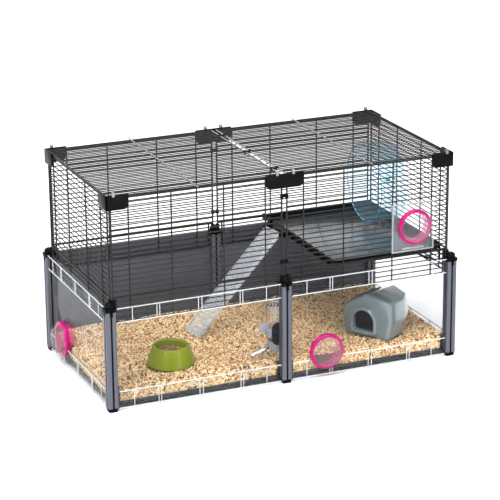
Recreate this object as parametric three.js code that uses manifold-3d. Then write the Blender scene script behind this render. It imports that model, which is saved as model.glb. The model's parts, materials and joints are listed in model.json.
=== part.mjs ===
// Two-bay modular cage for hamsters: aluminium-look posts, clear lower panels, wire grilles,
// a split wire roof, a raised platform with a ramp, an exercise wheel, access ports, a hide,
// a bowl and a drip bottle. Millimetres, +Z up, front towards -Y. The group's origin is on the
// floor, at the middle of the whole assembly's bounding box.
import * as THREE from "three";
import { mergeVertices } from "three/addons/utils/BufferGeometryUtils.js";
import Module from "manifold-3d";

const wasm = await Module();
wasm.setup();

// ---- Driving dimensions -------------------------------------------------------------------

const GAP = 0.3; // clearance between neighbouring pieces
const POST = 20; // side of the square post extrusion
const BAY = 332.5; // clear width between two posts
const FOOT_TOP = 8; // underside of the posts
const POST_TOP = 197;
const CAP_TOP = 217; // top of the clip on each post
const CAP_SIDE = 23;
const PANEL_BOTTOM = 5;
const PANEL_TOP = 203;
const SHEET = 2.4; // thickness of a panel's sheet
const LEDGE_DEPTH = 6; // how far a panel's ledges stand out
const LEDGE_THICK = 2;
const GRILLE_BOTTOM = 170.5;
const GRILLE_TOP = 411;
const GRILLE_INSET = 3.65; // from the line of post centres to the plane of the wires
const WIRE_THICK = 2.4; // thickness of the flat lattice that stands for the wires
const FRAME_WIRE = 3;
const INNER_WIRE = 2;
const ROOF_BOTTOM = 412;
const CONNECTOR_BOTTOM = 388.5;
const CONNECTOR_TOP = 416.5;
const HOOK_TOP = 425;
const ROOF_HINGE_X = 5; // each roof half turns about its own inner frame wire
const BEDDING_TOP = 42;

const POST_X = POST + BAY; // end posts' centre lines
const POST_Y = (POST + BAY) / 2; // front and back posts' centre lines
const PANEL_CENTRE = POST_X / 2; // middle of a front or back bay

// Access ports: a screwed ring through a hole, closed by a clear cap.
const PORT_OFFSET = -92.25; // from the middle of a panel
const PORT_Z = 52;
const PORT_HOLE = 29; // radius of the hole in the panel
const RING_RADIUS = 35;
const RING_BORE = 26;
const RING_THICK = 9;
const SLEEVE_DEPTH = 9; // how far a ring's sleeve reaches inside the cage
const CAP_LENGTH = 16; // how far a cap stands out of its ring
const RECESS_RADIUS = 37; // ledges and ribs are cut away around a port

const SHEET_FACE = SHEET / 2; // outer face of a sheet, measured outwards from the post line
const RING_FACE = SHEET_FACE + GAP + RING_THICK;
const CAP_FACE = RING_FACE + CAP_LENGTH;

// The port caps reach furthest on the left and at the front, the post caps on the other sides.
const ORIGIN_X = (POST_X + CAP_SIDE / 2 - (POST_X + CAP_FACE)) / 2;
const ORIGIN_Y = (POST_Y + CAP_SIDE / 2 - (POST_Y + CAP_FACE)) / 2;

// ---- Materials ----------------------------------------------------------------------------

const material = (color, roughness, metalness = 0, opacity = 1) =>
  new THREE.MeshStandardMaterial({ color, roughness, metalness, opacity, transparent: opacity < 1 });

const GREY_ALUMINIUM = material(0x767a83, 0.4, 0.4);
const BLACK_PLASTIC = material(0x141517, 0.45);
const CLEAR_PLASTIC = material(0xe8eef2, 0.08, 0, 0.3);
const SLATE_PLASTIC = material(0x4c4f58, 0.5);
const DARK_TRAY = material(0x2f333b, 0.5);
const WOOD_PELLET = material(0xd9b380, 0.9);
const BLACK_WIRE = material(0x1c1c1e, 0.35, 0.3);
const RAMP_PLASTIC = material(0xdfe4ea, 0.15, 0, 0.45);
const WHEEL_PLASTIC = material(0x9fd4ea, 0.1, 0, 0.4);
const PINK_PLASTIC = material(0xe6148c, 0.25);
const LIME_PLASTIC = material(0x8fae0a, 0.3);
const SAGE_PLASTIC = material(0x6f7f79, 0.25);
const HOLDER_PLASTIC = material(0xa9adb3, 0.35, 0, 0.7);
const STEEL = material(0xc4c8cc, 0.2, 1);

// ---- Solids -------------------------------------------------------------------------------

// Six times the volume inside a surface, negative where it is inside out.
function signedVolume(positions, index) {
  const corners = [new THREE.Vector3(), new THREE.Vector3(), new THREE.Vector3()];
  let volume = 0;
  for (let i = 0; i < index.length; i += 3) {
    corners.forEach((corner, k) => corner.fromArray(positions, 3 * index[i + k]));
    volume += corners[0].dot(corners[1].clone().cross(corners[2]));
  }
  return volume;
}

// A closed geometry becomes a solid: shared corners merged, slivers dropped, faces outwards.
function solid(source) {
  const geometry = source.clone();
  geometry.deleteAttribute("normal");
  geometry.deleteAttribute("uv");
  const merged = mergeVertices(geometry, 1e-4);
  const vertProperties = new Float32Array(merged.attributes.position.array);
  const triangles = [];
  for (let i = 0; i < merged.index.count; i += 3) {
    const [a, b, c] = [0, 1, 2].map((k) => merged.index.getX(i + k));
    if (a !== b && b !== c && c !== a) {
      triangles.push(a, b, c);
    }
  }
  if (signedVolume(vertProperties, triangles) < 0) {
    triangles.reverse();
  }
  const triVerts = new Uint32Array(triangles);
  return new wasm.Manifold(new wasm.Mesh({ numProp: 3, vertProperties, triVerts }));
}

const join = (first, ...others) => others.reduce((sum, other) => sum.add(other), first);
const cut = (first, ...others) => others.reduce((rest, other) => rest.subtract(other), first);

function geometryOf(manifold) {
  const mesh = manifold.getMesh();
  const geometry = new THREE.BufferGeometry();
  geometry.setAttribute("position", new THREE.BufferAttribute(mesh.vertProperties, 3));
  geometry.setIndex(new THREE.BufferAttribute(mesh.triVerts, 1));
  geometry.computeVertexNormals();
  return geometry;
}

// A box from its lowest to its highest corner.
function box([x0, y0, z0], [x1, y1, z1]) {
  const geometry = new THREE.BoxGeometry(x1 - x0, y1 - y0, z1 - z0);
  geometry.translate((x0 + x1) / 2, (y0 + y1) / 2, (z0 + z1) / 2);
  return solid(geometry);
}

const outline = (points) => new THREE.Shape(points.map(([x, y]) => new THREE.Vector2(x, y)));

const rectangle = (x0, y0, x1, y1) => outline([[x0, y0], [x1, y0], [x1, y1], [x0, y1]]);

// A flat outline raised from one height to another.
function raise(shape, z0, z1, curveSegments = 6) {
  const geometry = new THREE.ExtrudeGeometry(shape, { depth: z1 - z0, bevelEnabled: false, curveSegments });
  geometry.translate(0, 0, z0);
  return geometry;
}

// An outline drawn in the upright XZ plane, given a thickness along Y.
function upright(shape, y0, y1, curveSegments = 6) {
  const geometry = raise(shape, -y1, -y0, curveSegments);
  geometry.rotateX(Math.PI / 2);
  return geometry;
}

// A square with rounded corners, centred on the origin.
function roundedSquare(side, radius) {
  const half = side / 2;
  const inner = half - radius;
  const shape = new THREE.Shape();
  shape.moveTo(-inner, -half);
  shape.lineTo(inner, -half);
  shape.absarc(inner, -inner, radius, -Math.PI / 2, 0);
  shape.absarc(inner, inner, radius, 0, Math.PI / 2);
  shape.absarc(-inner, inner, radius, Math.PI / 2, Math.PI);
  shape.absarc(-inner, -inner, radius, Math.PI, 1.5 * Math.PI);
  return shape;
}

// A turned body: the profile is a list of [radius, height] along Z.
function turned(profile, segments) {
  const geometry = new THREE.LatheGeometry(profile.map(([r, z]) => new THREE.Vector2(r, z)), segments);
  geometry.rotateX(Math.PI / 2);
  return solid(geometry);
}

// A round bar along Y in a side's own frame, between two distances outwards.
function roundAcross(x, z, radius, out0, out1, segments = 28) {
  const geometry = new THREE.CylinderGeometry(radius, radius, out1 - out0, segments);
  geometry.translate(x, -(out0 + out1) / 2, z);
  return solid(geometry);
}

// Rings of points, one above the other, skinned into a closed body. The last point of the top
// ring is the hub of its fan, so a roof can rise to it.
function skinned(rings) {
  const count = rings[0].length;
  const geometry = new THREE.BufferGeometry();
  geometry.setAttribute("position", new THREE.Float32BufferAttribute(rings.flat(2), 3));
  const index = [];
  for (let level = 0; level + 1 < rings.length; level += 1) {
    for (let i = 0; i < count; i += 1) {
      const a = level * count + i;
      const b = level * count + ((i + 1) % count);
      index.push(a, b, b + count, a, b + count, a + count);
    }
  }
  const top = (rings.length - 1) * count;
  for (let i = 0; i + 2 < count; i += 1) {
    index.push(top + count - 1, top + i, top + i + 1);
    index.push(count - 1, i + 1, i);
  }
  geometry.setIndex(index);
  return solid(geometry);
}

// ---- The assembly -------------------------------------------------------------------------

const cage = new THREE.Group();
cage.position.set(-ORIGIN_X, -ORIGIN_Y, 0);

function place(name, geometry, finish, parent = cage, position = [0, 0, 0], turn = 0) {
  const mesh = new THREE.Mesh(geometry, finish);
  mesh.name = name;
  mesh.position.set(...position);
  mesh.rotation.z = turn;
  parent.add(mesh);
  return mesh;
}

// Each side has its own frame: X along the side, -Y outwards, seen from outside.
const SIDES = {
  front_left: { x: -PANEL_CENTRE, y: -POST_Y, turn: 0, startsAtCorner: true, endsAtCorner: false },
  front_right: { x: PANEL_CENTRE, y: -POST_Y, turn: 0, startsAtCorner: false, endsAtCorner: true },
  back_left: { x: -PANEL_CENTRE, y: POST_Y, turn: Math.PI, startsAtCorner: false, endsAtCorner: true },
  back_right: { x: PANEL_CENTRE, y: POST_Y, turn: Math.PI, startsAtCorner: true, endsAtCorner: false },
  end_left: { x: -POST_X, y: 0, turn: -Math.PI / 2, startsAtCorner: true, endsAtCorner: true },
  end_right: { x: POST_X, y: 0, turn: Math.PI / 2, startsAtCorner: true, endsAtCorner: true },
};

const sideFrames = {};
for (const [name, side] of Object.entries(SIDES)) {
  const frame = new THREE.Group();
  frame.position.set(side.x, side.y, 0);
  frame.rotation.z = side.turn;
  cage.add(frame);
  sideFrames[name] = frame;
}

// Posts stand in two rows of three. "right" and "back" give the way out of the cage.
const POSTS = [];
for (const [row, back] of [["front", -1], ["back", 1]]) {
  for (const [column, right] of [["left", -1], ["middle", 0], ["right", 1]]) {
    POSTS.push({ name: `${row}_${column}`, x: right * POST_X, y: back * POST_Y, right, back });
  }
}

// ---- Posts, feet and post caps ------------------------------------------------------------

const SLOT_WIDTH = 5;
const SLOT_DEPTH = 5;

function postGeometry() {
  const half = POST / 2;
  let body = solid(raise(roundedSquare(POST, 3), FOOT_TOP, POST_TOP, 3));
  for (let face = 0; face < 4; face += 1) {
    const slot = new THREE.BoxGeometry(2 * SLOT_DEPTH, SLOT_WIDTH, 2 * POST_TOP);
    slot.translate(half, 0, POST_TOP);
    slot.rotateZ((face * Math.PI) / 2);
    body = cut(body, solid(slot));
  }
  return geometryOf(body);
}

const FOOT_SIDE = 18;
const SOLE_SIDE = 16.4; // the foot is narrower where it meets the floor
const SOLE_TOP = 2;

function footGeometry() {
  const sole = solid(raise(roundedSquare(SOLE_SIDE, 2), 0, SOLE_TOP, 2));
  const block = solid(raise(roundedSquare(FOOT_SIDE, 3), SOLE_TOP - 0.5, FOOT_TOP - GAP, 2));
  return geometryOf(join(sole, block));
}

const PRONG_REACH = 8.25; // from a corner post's centre to a grille's end wire
const MIDDLE_REACH = 5; // the same at a middle post
const PRONG_HOLE = 2.3;
const LIP_HALF = 3; // half the width of the lips that reach down over a post's outer faces
const LIP_DROP = 8;

// Where the grilles' end wires stand in a post's cap.
function prongsOf(post) {
  if (post.right === 0) {
    return [-1, 1].map((side) => [side * MIDDLE_REACH, -post.back * GRILLE_INSET]);
  }
  return [
    [-post.right * PRONG_REACH, -post.back * GRILLE_INSET],
    [-post.right * GRILLE_INSET, -post.back * PRONG_REACH],
  ];
}

function postCapGeometry(post) {
  const plan = roundedSquare(CAP_SIDE, 4);
  for (const [x, y] of prongsOf(post)) {
    const hole = new THREE.Path();
    hole.absarc(x, y, PRONG_HOLE, 0, 2 * Math.PI, true);
    plan.holes.push(hole);
  }
  const half = CAP_SIDE / 2;
  const face = POST / 2 + GAP;
  const lip = (x0, y0, x1, y1) => box([x0, y0, POST_TOP - LIP_DROP], [x1, y1, POST_TOP + 2 * GAP]);
  const acrossY = post.back < 0 ? [-half, -face] : [face, half];
  let body = solid(raise(plan, POST_TOP + GAP, CAP_TOP, 4));
  body = join(body, lip(-LIP_HALF, acrossY[0], LIP_HALF, acrossY[1]));
  if (post.right !== 0) {
    const acrossX = post.right < 0 ? [-half, -face] : [face, half];
    body = join(body, lip(acrossX[0], -LIP_HALF, acrossX[1], LIP_HALF));
  }
  return geometryOf(body);
}

for (const post of POSTS) {
  const position = [post.x, post.y, 0];
  place(`post_${post.name}`, postGeometry(), GREY_ALUMINIUM, cage, position);
  place(`foot_${post.name}`, footGeometry(), BLACK_PLASTIC, cage, position);
  place(`post_cap_${post.name}`, postCapGeometry(post), BLACK_PLASTIC, cage, position);
}

// ---- Lower panels -------------------------------------------------------------------------

const PANEL_HALF = BAY / 2 - 1.85; // leaves room for the post caps
const TONGUE_END = BAY / 2 + SLOT_DEPTH - 0.5; // a panel's edge reaches into the posts' slots
const UPPER_BAND = [174, PANEL_TOP];
const LOWER_BAND = [PANEL_BOTTOM, 40];
const SUPPORT_LIP = 5; // the lip under the tray
const RIBS = [-134.3, -86, -80.5, -3.5, 3.5, 80.5, 86, 134.3]; // places along the panel
const RIB_HALF = 0.9;

function panelGeometry(withPort) {
  const outer = -SHEET_FACE - LEDGE_DEPTH;
  const ledge = (z, inner = 0) => box([-PANEL_HALF, outer, z], [PANEL_HALF, inner, z + LEDGE_THICK]);
  const sheet = box([-PANEL_HALF, -SHEET_FACE, PANEL_BOTTOM], [PANEL_HALF, SHEET_FACE, PANEL_TOP]);
  const tongue = box([-TONGUE_END, -SHEET_FACE, FOOT_TOP + 0.5], [TONGUE_END, SHEET_FACE, POST_TOP - 0.5]);
  let body = join(sheet, tongue, ledge(PANEL_BOTTOM, SHEET_FACE + SUPPORT_LIP));
  for (const band of [LOWER_BAND, UPPER_BAND]) {
    body = join(body, ledge(band[0]), ledge(band[1] - LEDGE_THICK));
    for (const x of RIBS) {
      body = join(body, box([x - RIB_HALF, outer, band[0] + 1], [x + RIB_HALF, 0, band[1] - 1]));
    }
  }
  if (withPort) {
    body = cut(
      body,
      roundAcross(PORT_OFFSET, PORT_Z, RECESS_RADIUS, SHEET_FACE, SHEET_FACE + 2 * LEDGE_DEPTH),
      roundAcross(PORT_OFFSET, PORT_Z, PORT_HOLE, -2 * SHEET, 2 * SHEET),
    );
  }
  return geometryOf(body);
}

const PANELS_WITH_PORT = ["front_right", "end_left"];
for (const name of Object.keys(SIDES)) {
  const finish = name.startsWith("back") ? SLATE_PLASTIC : CLEAR_PLASTIC;
  place(`panel_${name}`, panelGeometry(PANELS_WITH_PORT.includes(name)), finish, sideFrames[name]);
}

// ---- Base tray ----------------------------------------------------------------------------

const TRAY_BOTTOM = PANEL_BOTTOM + LEDGE_THICK + 0.4;
const TRAY_TOP = 16;
const TRAY_WALL = 2;
const TRAY_HALF_X = POST_X - SHEET_FACE - 0.45;
const TRAY_HALF_Y = POST_Y - SHEET_FACE - 0.45;
const TRAY_NOTCH = POST / 2 + 0.6; // clearance around the posts

// The floor plan inside the panels, stepped around the six posts.
function floorPlan(inset) {
  const x = TRAY_HALF_X - inset;
  const y = TRAY_HALF_Y - inset;
  const notchX = POST_X - TRAY_NOTCH - inset;
  const notchY = POST_Y - TRAY_NOTCH - inset;
  const middle = TRAY_NOTCH + inset;
  const quarter = [[middle, y], [notchX, y], [notchX, notchY], [x, notchY]];
  const right = [...quarter.map(([px, py]) => [px, -py]), ...[...quarter].reverse()];
  const edge = [[middle, -notchY], ...right, [middle, notchY]];
  const left = [...edge].reverse().map(([px, py]) => [-px, py]);
  return outline([...edge, ...left]);
}

const trayBody = cut(
  solid(raise(floorPlan(0), TRAY_BOTTOM, TRAY_TOP)),
  solid(raise(floorPlan(TRAY_WALL), TRAY_BOTTOM + TRAY_WALL, TRAY_TOP + 1)),
);
place("base_tray", geometryOf(trayBody), DARK_TRAY);

// ---- Wire grilles -------------------------------------------------------------------------

const PRONG_BOTTOM = POST_TOP + 6; // the end wires stand in the post caps
const SHOULDER = CAP_TOP + 0.7; // below this a grille is narrower, to pass between the posts
const NARROW_HALF = BAY / 2 - 2.5;
const UPRIGHTS = [0.1, 0.347, 0.653, 0.9]; // places of the inner upright wires
const GRILLE_ROWS = 5; // above the shoulder
const PLATE_LOW = 228.5;
const PLATE_HIGH = 326;
const PLATE_MARGIN = 4; // how far the port plate overlaps the wires around its opening
const PLATE_COLUMN = 3;

// A grille's first and last upright wires, along its side.
function grilleSpan(side) {
  return [
    -PANEL_CENTRE + (side.startsAtCorner ? PRONG_REACH : MIDDLE_REACH),
    PANEL_CENTRE - (side.endsAtCorner ? PRONG_REACH : MIDDLE_REACH),
  ];
}

function uprightsOf(side) {
  const [start, end] = grilleSpan(side);
  return UPRIGHTS.map((share) => start + share * (end - start));
}

// Heights of the level wires, with a gap in them where the port plate goes.
function crossWires(withOpening) {
  const shoulder = SHOULDER + FRAME_WIRE / 2;
  const top = GRILLE_TOP - FRAME_WIRE / 2;
  const levels = [GRILLE_BOTTOM + FRAME_WIRE / 2];
  for (let row = 0; row <= GRILLE_ROWS; row += 1) {
    levels.push(shoulder + (row * (top - shoulder)) / GRILLE_ROWS);
  }
  if (!withOpening) {
    return levels;
  }
  const low = PLATE_LOW + PLATE_MARGIN;
  const high = PLATE_HIGH - PLATE_MARGIN;
  return [...levels.filter((z) => z < low || z > high), low, high].sort((a, b) => a - b);
}

function grilleOutline(side) {
  const half = FRAME_WIRE / 2;
  const [start, end] = grilleSpan(side);
  return outline([
    [-NARROW_HALF, GRILLE_BOTTOM], [NARROW_HALF, GRILLE_BOTTOM], [NARROW_HALF, SHOULDER],
    [end - half, SHOULDER], [end - half, PRONG_BOTTOM], [end + half, PRONG_BOTTOM],
    [end + half, GRILLE_TOP], [start - half, GRILLE_TOP], [start - half, PRONG_BOTTOM],
    [start + half, PRONG_BOTTOM], [start + half, SHOULDER], [-NARROW_HALF, SHOULDER],
  ]);
}

// The spaces between the wires, cut right through the flat outline.
function grilleSpaces(side, withOpening) {
  const half = FRAME_WIRE / 2;
  const thin = INNER_WIRE / 2;
  const [start, end] = grilleSpan(side);
  const uprights = uprightsOf(side);
  const spaces = [];
  for (let column = 0; column <= uprights.length; column += 1) {
    const levels = crossWires(withOpening && column === PLATE_COLUMN);
    for (let row = 0; row + 1 < levels.length; row += 1) {
      const first = row === 0 ? -NARROW_HALF + FRAME_WIRE : start + half;
      const last = row === 0 ? NARROW_HALF - FRAME_WIRE : end - half;
      const left = column === 0 ? first : uprights[column - 1] + thin;
      const right = column === uprights.length ? last : uprights[column] - thin;
      const low = levels[row] + (row === 0 ? half : thin);
      const high = levels[row + 1] - (row + 2 === levels.length ? half : thin);
      spaces.push(box([left, 0, low], [right, 2 * GRILLE_INSET, high]));
    }
  }
  return spaces;
}

for (const [name, side] of Object.entries(SIDES)) {
  const faces = [GRILLE_INSET - WIRE_THICK / 2, GRILLE_INSET + WIRE_THICK / 2];
  const sheet = solid(upright(grilleOutline(side), ...faces));
  const grille = cut(sheet, ...grilleSpaces(side, name === "front_right"));
  place(`grille_${name}`, geometryOf(grille), BLACK_WIRE, sideFrames[name]);
}

// ---- Roof halves and their hinge clips ----------------------------------------------------

const ROOF_TOP = ROOF_BOTTOM + WIRE_THICK;
const ROOF_OUTER = POST_X - GRILLE_INSET;
const ROOF_SIDE = POST_Y - GRILLE_INSET;
const CROSSBAR_END = ROOF_SIDE + 10.4; // the crossbars rest on the front and back grilles
const ROOF_ROWS = 9;

// Half of the roof, to the right of the centre line.
function roofGeometry() {
  const half = FRAME_WIRE / 2;
  const thin = INNER_WIRE / 2;
  const inner = ROOF_HINGE_X - half;
  const outer = ROOF_OUTER + half;
  const middle = (ROOF_HINGE_X + ROOF_OUTER) / 2;
  const y = ROOF_SIDE + half;
  const sheet = outline([
    [inner, -y], [middle - thin, -y], [middle - thin, -CROSSBAR_END], [middle + thin, -CROSSBAR_END],
    [middle + thin, -y], [outer, -y], [outer, y], [middle + thin, y], [middle + thin, CROSSBAR_END],
    [middle - thin, CROSSBAR_END], [middle - thin, y], [inner, y],
  ]);
  const columns = [[inner + FRAME_WIRE, middle - thin], [middle + thin, outer - FRAME_WIRE]];
  const clear = 2 * (y - FRAME_WIRE);
  const pitch = (clear + INNER_WIRE) / ROOF_ROWS;
  const spaces = [];
  for (let row = 0; row < ROOF_ROWS; row += 1) {
    const low = row * pitch - clear / 2;
    for (const [left, right] of columns) {
      spaces.push(box([left, low, ROOF_BOTTOM - 1], [right, low + pitch - INNER_WIRE, ROOF_TOP + 1]));
    }
  }
  return geometryOf(cut(solid(raise(sheet, ROOF_BOTTOM, ROOF_TOP)), ...spaces));
}

place("roof_right", roofGeometry(), BLACK_WIRE);
place("roof_left", roofGeometry(), BLACK_WIRE, cage, [0, 0, 0], Math.PI);

const ROOF_CLIPS = { front: -127, middle: 0, back: 127 };

const CLIP = { halfLength: 9, halfHeight: 3.4, halfDepth: 3, eye: 2.4 };

// A figure-of-eight clip: each inner frame wire turns in its own eye.
function roofClipGeometry() {
  const { halfLength, halfHeight, halfDepth, eye } = CLIP;
  const plate = rectangle(-halfLength, -halfHeight, halfLength, halfHeight);
  for (const x of [-ROOF_HINGE_X, ROOF_HINGE_X]) {
    const hole = new THREE.Path();
    hole.absarc(x, 0, eye, 0, 2 * Math.PI, true);
    plate.holes.push(hole);
  }
  return upright(plate, -halfDepth, halfDepth, 5);
}

for (const [name, y] of Object.entries(ROOF_CLIPS)) {
  const height = (ROOF_BOTTOM + ROOF_TOP) / 2;
  place(`roof_clip_${name}`, roofClipGeometry(), BLACK_PLASTIC, cage, [0, y, height]);
}

// ---- Top connectors -----------------------------------------------------------------------

const SKIRT = 3.3; // thickness of a skirt plate
const SKIRT_INNER_X = ROOF_OUTER + 1.8; // the skirts stand just outside the wires
const SKIRT_INNER_Y = ROOF_SIDE + 1.8;
const CORNER_LEG = 44.5;
const MIDDLE_HALF = 38.5;
const CHAMFER = 7;
const HOOK_WIDTH = 5;
const MIDDLE_HOOK = 14; // from the centre line to each hook of a middle connector
const CORNER_HOOK = 17; // from a corner's outer face to its hook

// A skirt plate with its free lower corners cut off, drawn from x0 to x1.
function skirtShape(x0, x1, cutLeft, cutRight) {
  const low = CONNECTOR_BOTTOM;
  const right = cutRight ? [[x1 - CHAMFER, low], [x1, low + CHAMFER]] : [[x1, low]];
  const left = cutLeft ? [[x0, low + CHAMFER], [x0 + CHAMFER, low]] : [[x0, low]];
  return outline([...right, [x1, CONNECTOR_TOP], [x0, CONNECTOR_TOP], ...left]);
}

function hook(x) {
  return box([x, -SKIRT_INNER_Y - SKIRT, CONNECTOR_TOP - 1], [x + HOOK_WIDTH, -SKIRT_INNER_Y, HOOK_TOP]);
}

function middleConnectorGeometry() {
  const plate = skirtShape(-MIDDLE_HALF, MIDDLE_HALF, true, true);
  const skirt = solid(upright(plate, -SKIRT_INNER_Y - SKIRT, -SKIRT_INNER_Y));
  return geometryOf(join(skirt, hook(MIDDLE_HOOK), hook(-MIDDLE_HOOK - HOOK_WIDTH)));
}

// The connector of the front right corner.
function cornerConnectorGeometry() {
  const outerX = SKIRT_INNER_X + SKIRT;
  const outerY = SKIRT_INNER_Y + SKIRT;
  const frontShape = skirtShape(outerX - CORNER_LEG, outerX, true, false);
  const front = solid(upright(frontShape, -outerY, -SKIRT_INNER_Y));
  const end = upright(skirtShape(-outerY, -outerY + CORNER_LEG, false, true), -outerX, -SKIRT_INNER_X);
  end.rotateZ(Math.PI / 2);
  return geometryOf(join(front, solid(end), hook(outerX - CORNER_HOOK)));
}

const mirrored = (geometry) => geometryOf(solid(geometry.clone().scale(-1, 1, 1)));

const cornerConnector = cornerConnectorGeometry();
const mirroredConnector = mirrored(cornerConnector);
const placeConnector = (name, geometry, turn) =>
  place(`connector_${name}`, geometry, BLACK_PLASTIC, cage, [0, 0, 0], turn);

placeConnector("front_right", cornerConnector, 0);
placeConnector("front_left", mirroredConnector, 0);
placeConnector("front_middle", middleConnectorGeometry(), 0);
placeConnector("back_left", cornerConnector, Math.PI);
placeConnector("back_right", mirroredConnector, Math.PI);
placeConnector("back_middle", middleConnectorGeometry(), Math.PI);

// ---- Platform and ramp --------------------------------------------------------------------

const PLATFORM = { left: 103, right: 345, halfDepth: 167, bottom: 211.5, rim: 226 };
const PLATFORM_FLARE = 12;
const PLATFORM_WALL = 2.2;

// A rectangle with cut corners at one height, as a ring of points.
function trayRing(inset, z) {
  const { left, right, halfDepth } = PLATFORM;
  const [x0, x1, y] = [left + inset, right - inset, halfDepth - inset];
  const c = 8;
  return [
    [x0 + c, -y, z], [x1 - c, -y, z], [x1, -y + c, z], [x1, y - c, z],
    [x1 - c, y, z], [x0 + c, y, z], [x0, y - c, z], [x0, -y + c, z],
  ];
}

const STRUT = { reach: 58, width: 8, drop: 26, rise: 12, thick: 3 };
const STRUT_PLACES = [-150, 150];

// A strut from the platform's underside to the end grille: a sloping arm and an upright.
function strut(y) {
  const { reach, width, drop, rise, thick } = STRUT;
  const outer = PLATFORM.right - 1;
  const inner = outer - thick;
  const top = PLATFORM.bottom + 1;
  const low = PLATFORM.bottom - drop;
  const high = PLATFORM.bottom + rise;
  const shape = outline([
    [outer - reach, top], [inner, low], [outer, low], [outer, high],
    [inner, high], [inner, low + width / 2], [outer - reach + width, top],
  ]);
  return solid(upright(shape, y - thick / 2, y + thick / 2));
}

const RAMP_YAW = THREE.MathUtils.degToRad(9);
const RAMP_TOP = [79, 59, 224]; // middle of the ramp's pivot
const RAMP_WIDTH = 54;
const RAMP_RUN = 192;
const RAMP_DROP = 180;
const RAMP_LENGTH = Math.hypot(RAMP_RUN, RAMP_DROP);
const RAMP_SLOPE = Math.atan2(RAMP_DROP, RAMP_RUN);
const BARREL_RADIUS = 3.6; // the ramp's barrel turns on a thinner pin
const BARREL_BORE = 2;
const PIN_RADIUS = 1.6;
const CHEEK = { length: 22, thick: 4, height: 9, gap: 0.5 };
const CHEEK_NOSE = 5; // how far a cheek stands out beyond the pin
const BRACKET_BAR = { length: 18, height: 6, place: 18 };
const RAMP_BOTTOM = -1.5;
const RAMP_RAIL = { width: 2.5, top: 5 };
const TREADS = 14;
const TREAD = { length: 2.4, top: 3 };

// Geometry drawn around the ramp's pivot, with the ramp falling away towards -X.
const atRampTop = (geometry) => geometry.rotateZ(RAMP_YAW).translate(...RAMP_TOP);

// A bar on the platform's rim that carries the ramp's pivot pin between two cheeks.
function rampBracket() {
  const { length, thick, height, gap } = CHEEK;
  const middle = RAMP_WIDTH / 2 + gap + thick / 2;
  const width = 2 * middle + thick;
  const cheeks = [-middle, middle].map((y) => {
    const geometry = new THREE.BoxGeometry(length, thick, height);
    return solid(atRampTop(geometry.translate(length / 2 - CHEEK_NOSE, y, 0)));
  });
  const bar = new THREE.BoxGeometry(BRACKET_BAR.length, width, BRACKET_BAR.height);
  const pin = new THREE.CylinderGeometry(PIN_RADIUS, PIN_RADIUS, width - 1, 10);
  return join(solid(atRampTop(bar.translate(BRACKET_BAR.place, 0, 0))), solid(atRampTop(pin)), ...cheeks);
}

function platformGeometry() {
  const { bottom, rim } = PLATFORM;
  const outer = skinned([trayRing(PLATFORM_FLARE, bottom), trayRing(0, rim)]);
  const floor = bottom + 2.5;
  const inside = [trayRing(PLATFORM_FLARE + PLATFORM_WALL, floor), trayRing(PLATFORM_WALL, rim + 0.1)];
  const bracket = cut(rampBracket(), skinned([trayRing(PLATFORM_FLARE, floor), trayRing(1, rim + 1)]));
  return geometryOf(cut(join(outer, ...STRUT_PLACES.map(strut), bracket), skinned(inside)));
}

place("platform", platformGeometry(), DARK_TRAY);

// The ramp: a plate with side rails and treads, hung on the pivot pin.
function rampGeometry() {
  const half = RAMP_WIDTH / 2;
  const rail = half - RAMP_RAIL.width;
  const barrel = new THREE.CylinderGeometry(BARREL_RADIUS, BARREL_RADIUS, RAMP_WIDTH, 16);
  const bore = new THREE.CylinderGeometry(BARREL_BORE, BARREL_BORE, 2 * RAMP_WIDTH, 10);
  const parts = [
    box([-RAMP_LENGTH, -half, RAMP_BOTTOM], [0, half, 1]),
    box([-RAMP_LENGTH, -half, RAMP_BOTTOM], [0, -rail, RAMP_RAIL.top]),
    box([-RAMP_LENGTH, rail, RAMP_BOTTOM], [0, half, RAMP_RAIL.top]),
  ];
  for (let i = 1; i <= TREADS; i += 1) {
    const x = (-i * RAMP_LENGTH) / (TREADS + 1);
    const step = TREAD.length / 2;
    parts.push(box([x - step, -half + 1, 0.5], [x + step, half - 1, TREAD.top]));
  }
  const body = cut(join(solid(barrel), ...parts), solid(bore));
  const geometry = geometryOf(body);
  geometry.rotateY(-RAMP_SLOPE);
  return atRampTop(geometry);
}

place("ramp", rampGeometry(), RAMP_PLASTIC);

// ---- Exercise wheel -----------------------------------------------------------------------

const WHEEL = { x: 263, width: 60, y: 27, z: 310, radius: 80 };
const AXLE_RADIUS = 3;
const STAND_THICK = 4;

// A turned body laid along X, at the wheel's axis.
const alongWheel = (profile, segments) =>
  geometryOf(turned(profile, segments)).rotateY(Math.PI / 2).translate(WHEEL.x, WHEEL.y, WHEEL.z);

function wheelGeometry() {
  const { width, radius } = WHEEL;
  const wall = 2.4;
  const hub = 9;
  return alongWheel([
    [AXLE_RADIUS + GAP, width], [radius, width], [radius, 0], [radius - wall, 0],
    [radius - wall, width - wall], [hub, width - wall], [hub, width - 10], [AXLE_RADIUS + GAP, width - 10],
    [AXLE_RADIUS + GAP, width],
  ], 36);
}

function wheelStandGeometry() {
  const { x, width, y, z } = WHEEL;
  const inside = x + width + 1;
  const floor = PLATFORM.bottom + 2.5 + GAP;
  const face = outline([[-34, floor], [34, floor], [9, z + 12], [-9, z + 12]]);
  const plate = upright(face, -STAND_THICK, 0);
  plate.rotateZ(Math.PI / 2).translate(inside, y, 0);
  const base = box([x, y - 34, floor], [inside + STAND_THICK, y + 34, floor + 3]);
  const axle = alongWheel([
    [0, width - 16], [6, width - 16], [6, width - 10.5], [AXLE_RADIUS, width - 10.5],
    [AXLE_RADIUS, width + 3], [0, width + 3],
  ], 16);
  return geometryOf(join(solid(plate), base, solid(axle)));
}

place("wheel", wheelGeometry(), WHEEL_PLASTIC);
place("wheel_stand", wheelStandGeometry(), CLEAR_PLASTIC);

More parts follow.
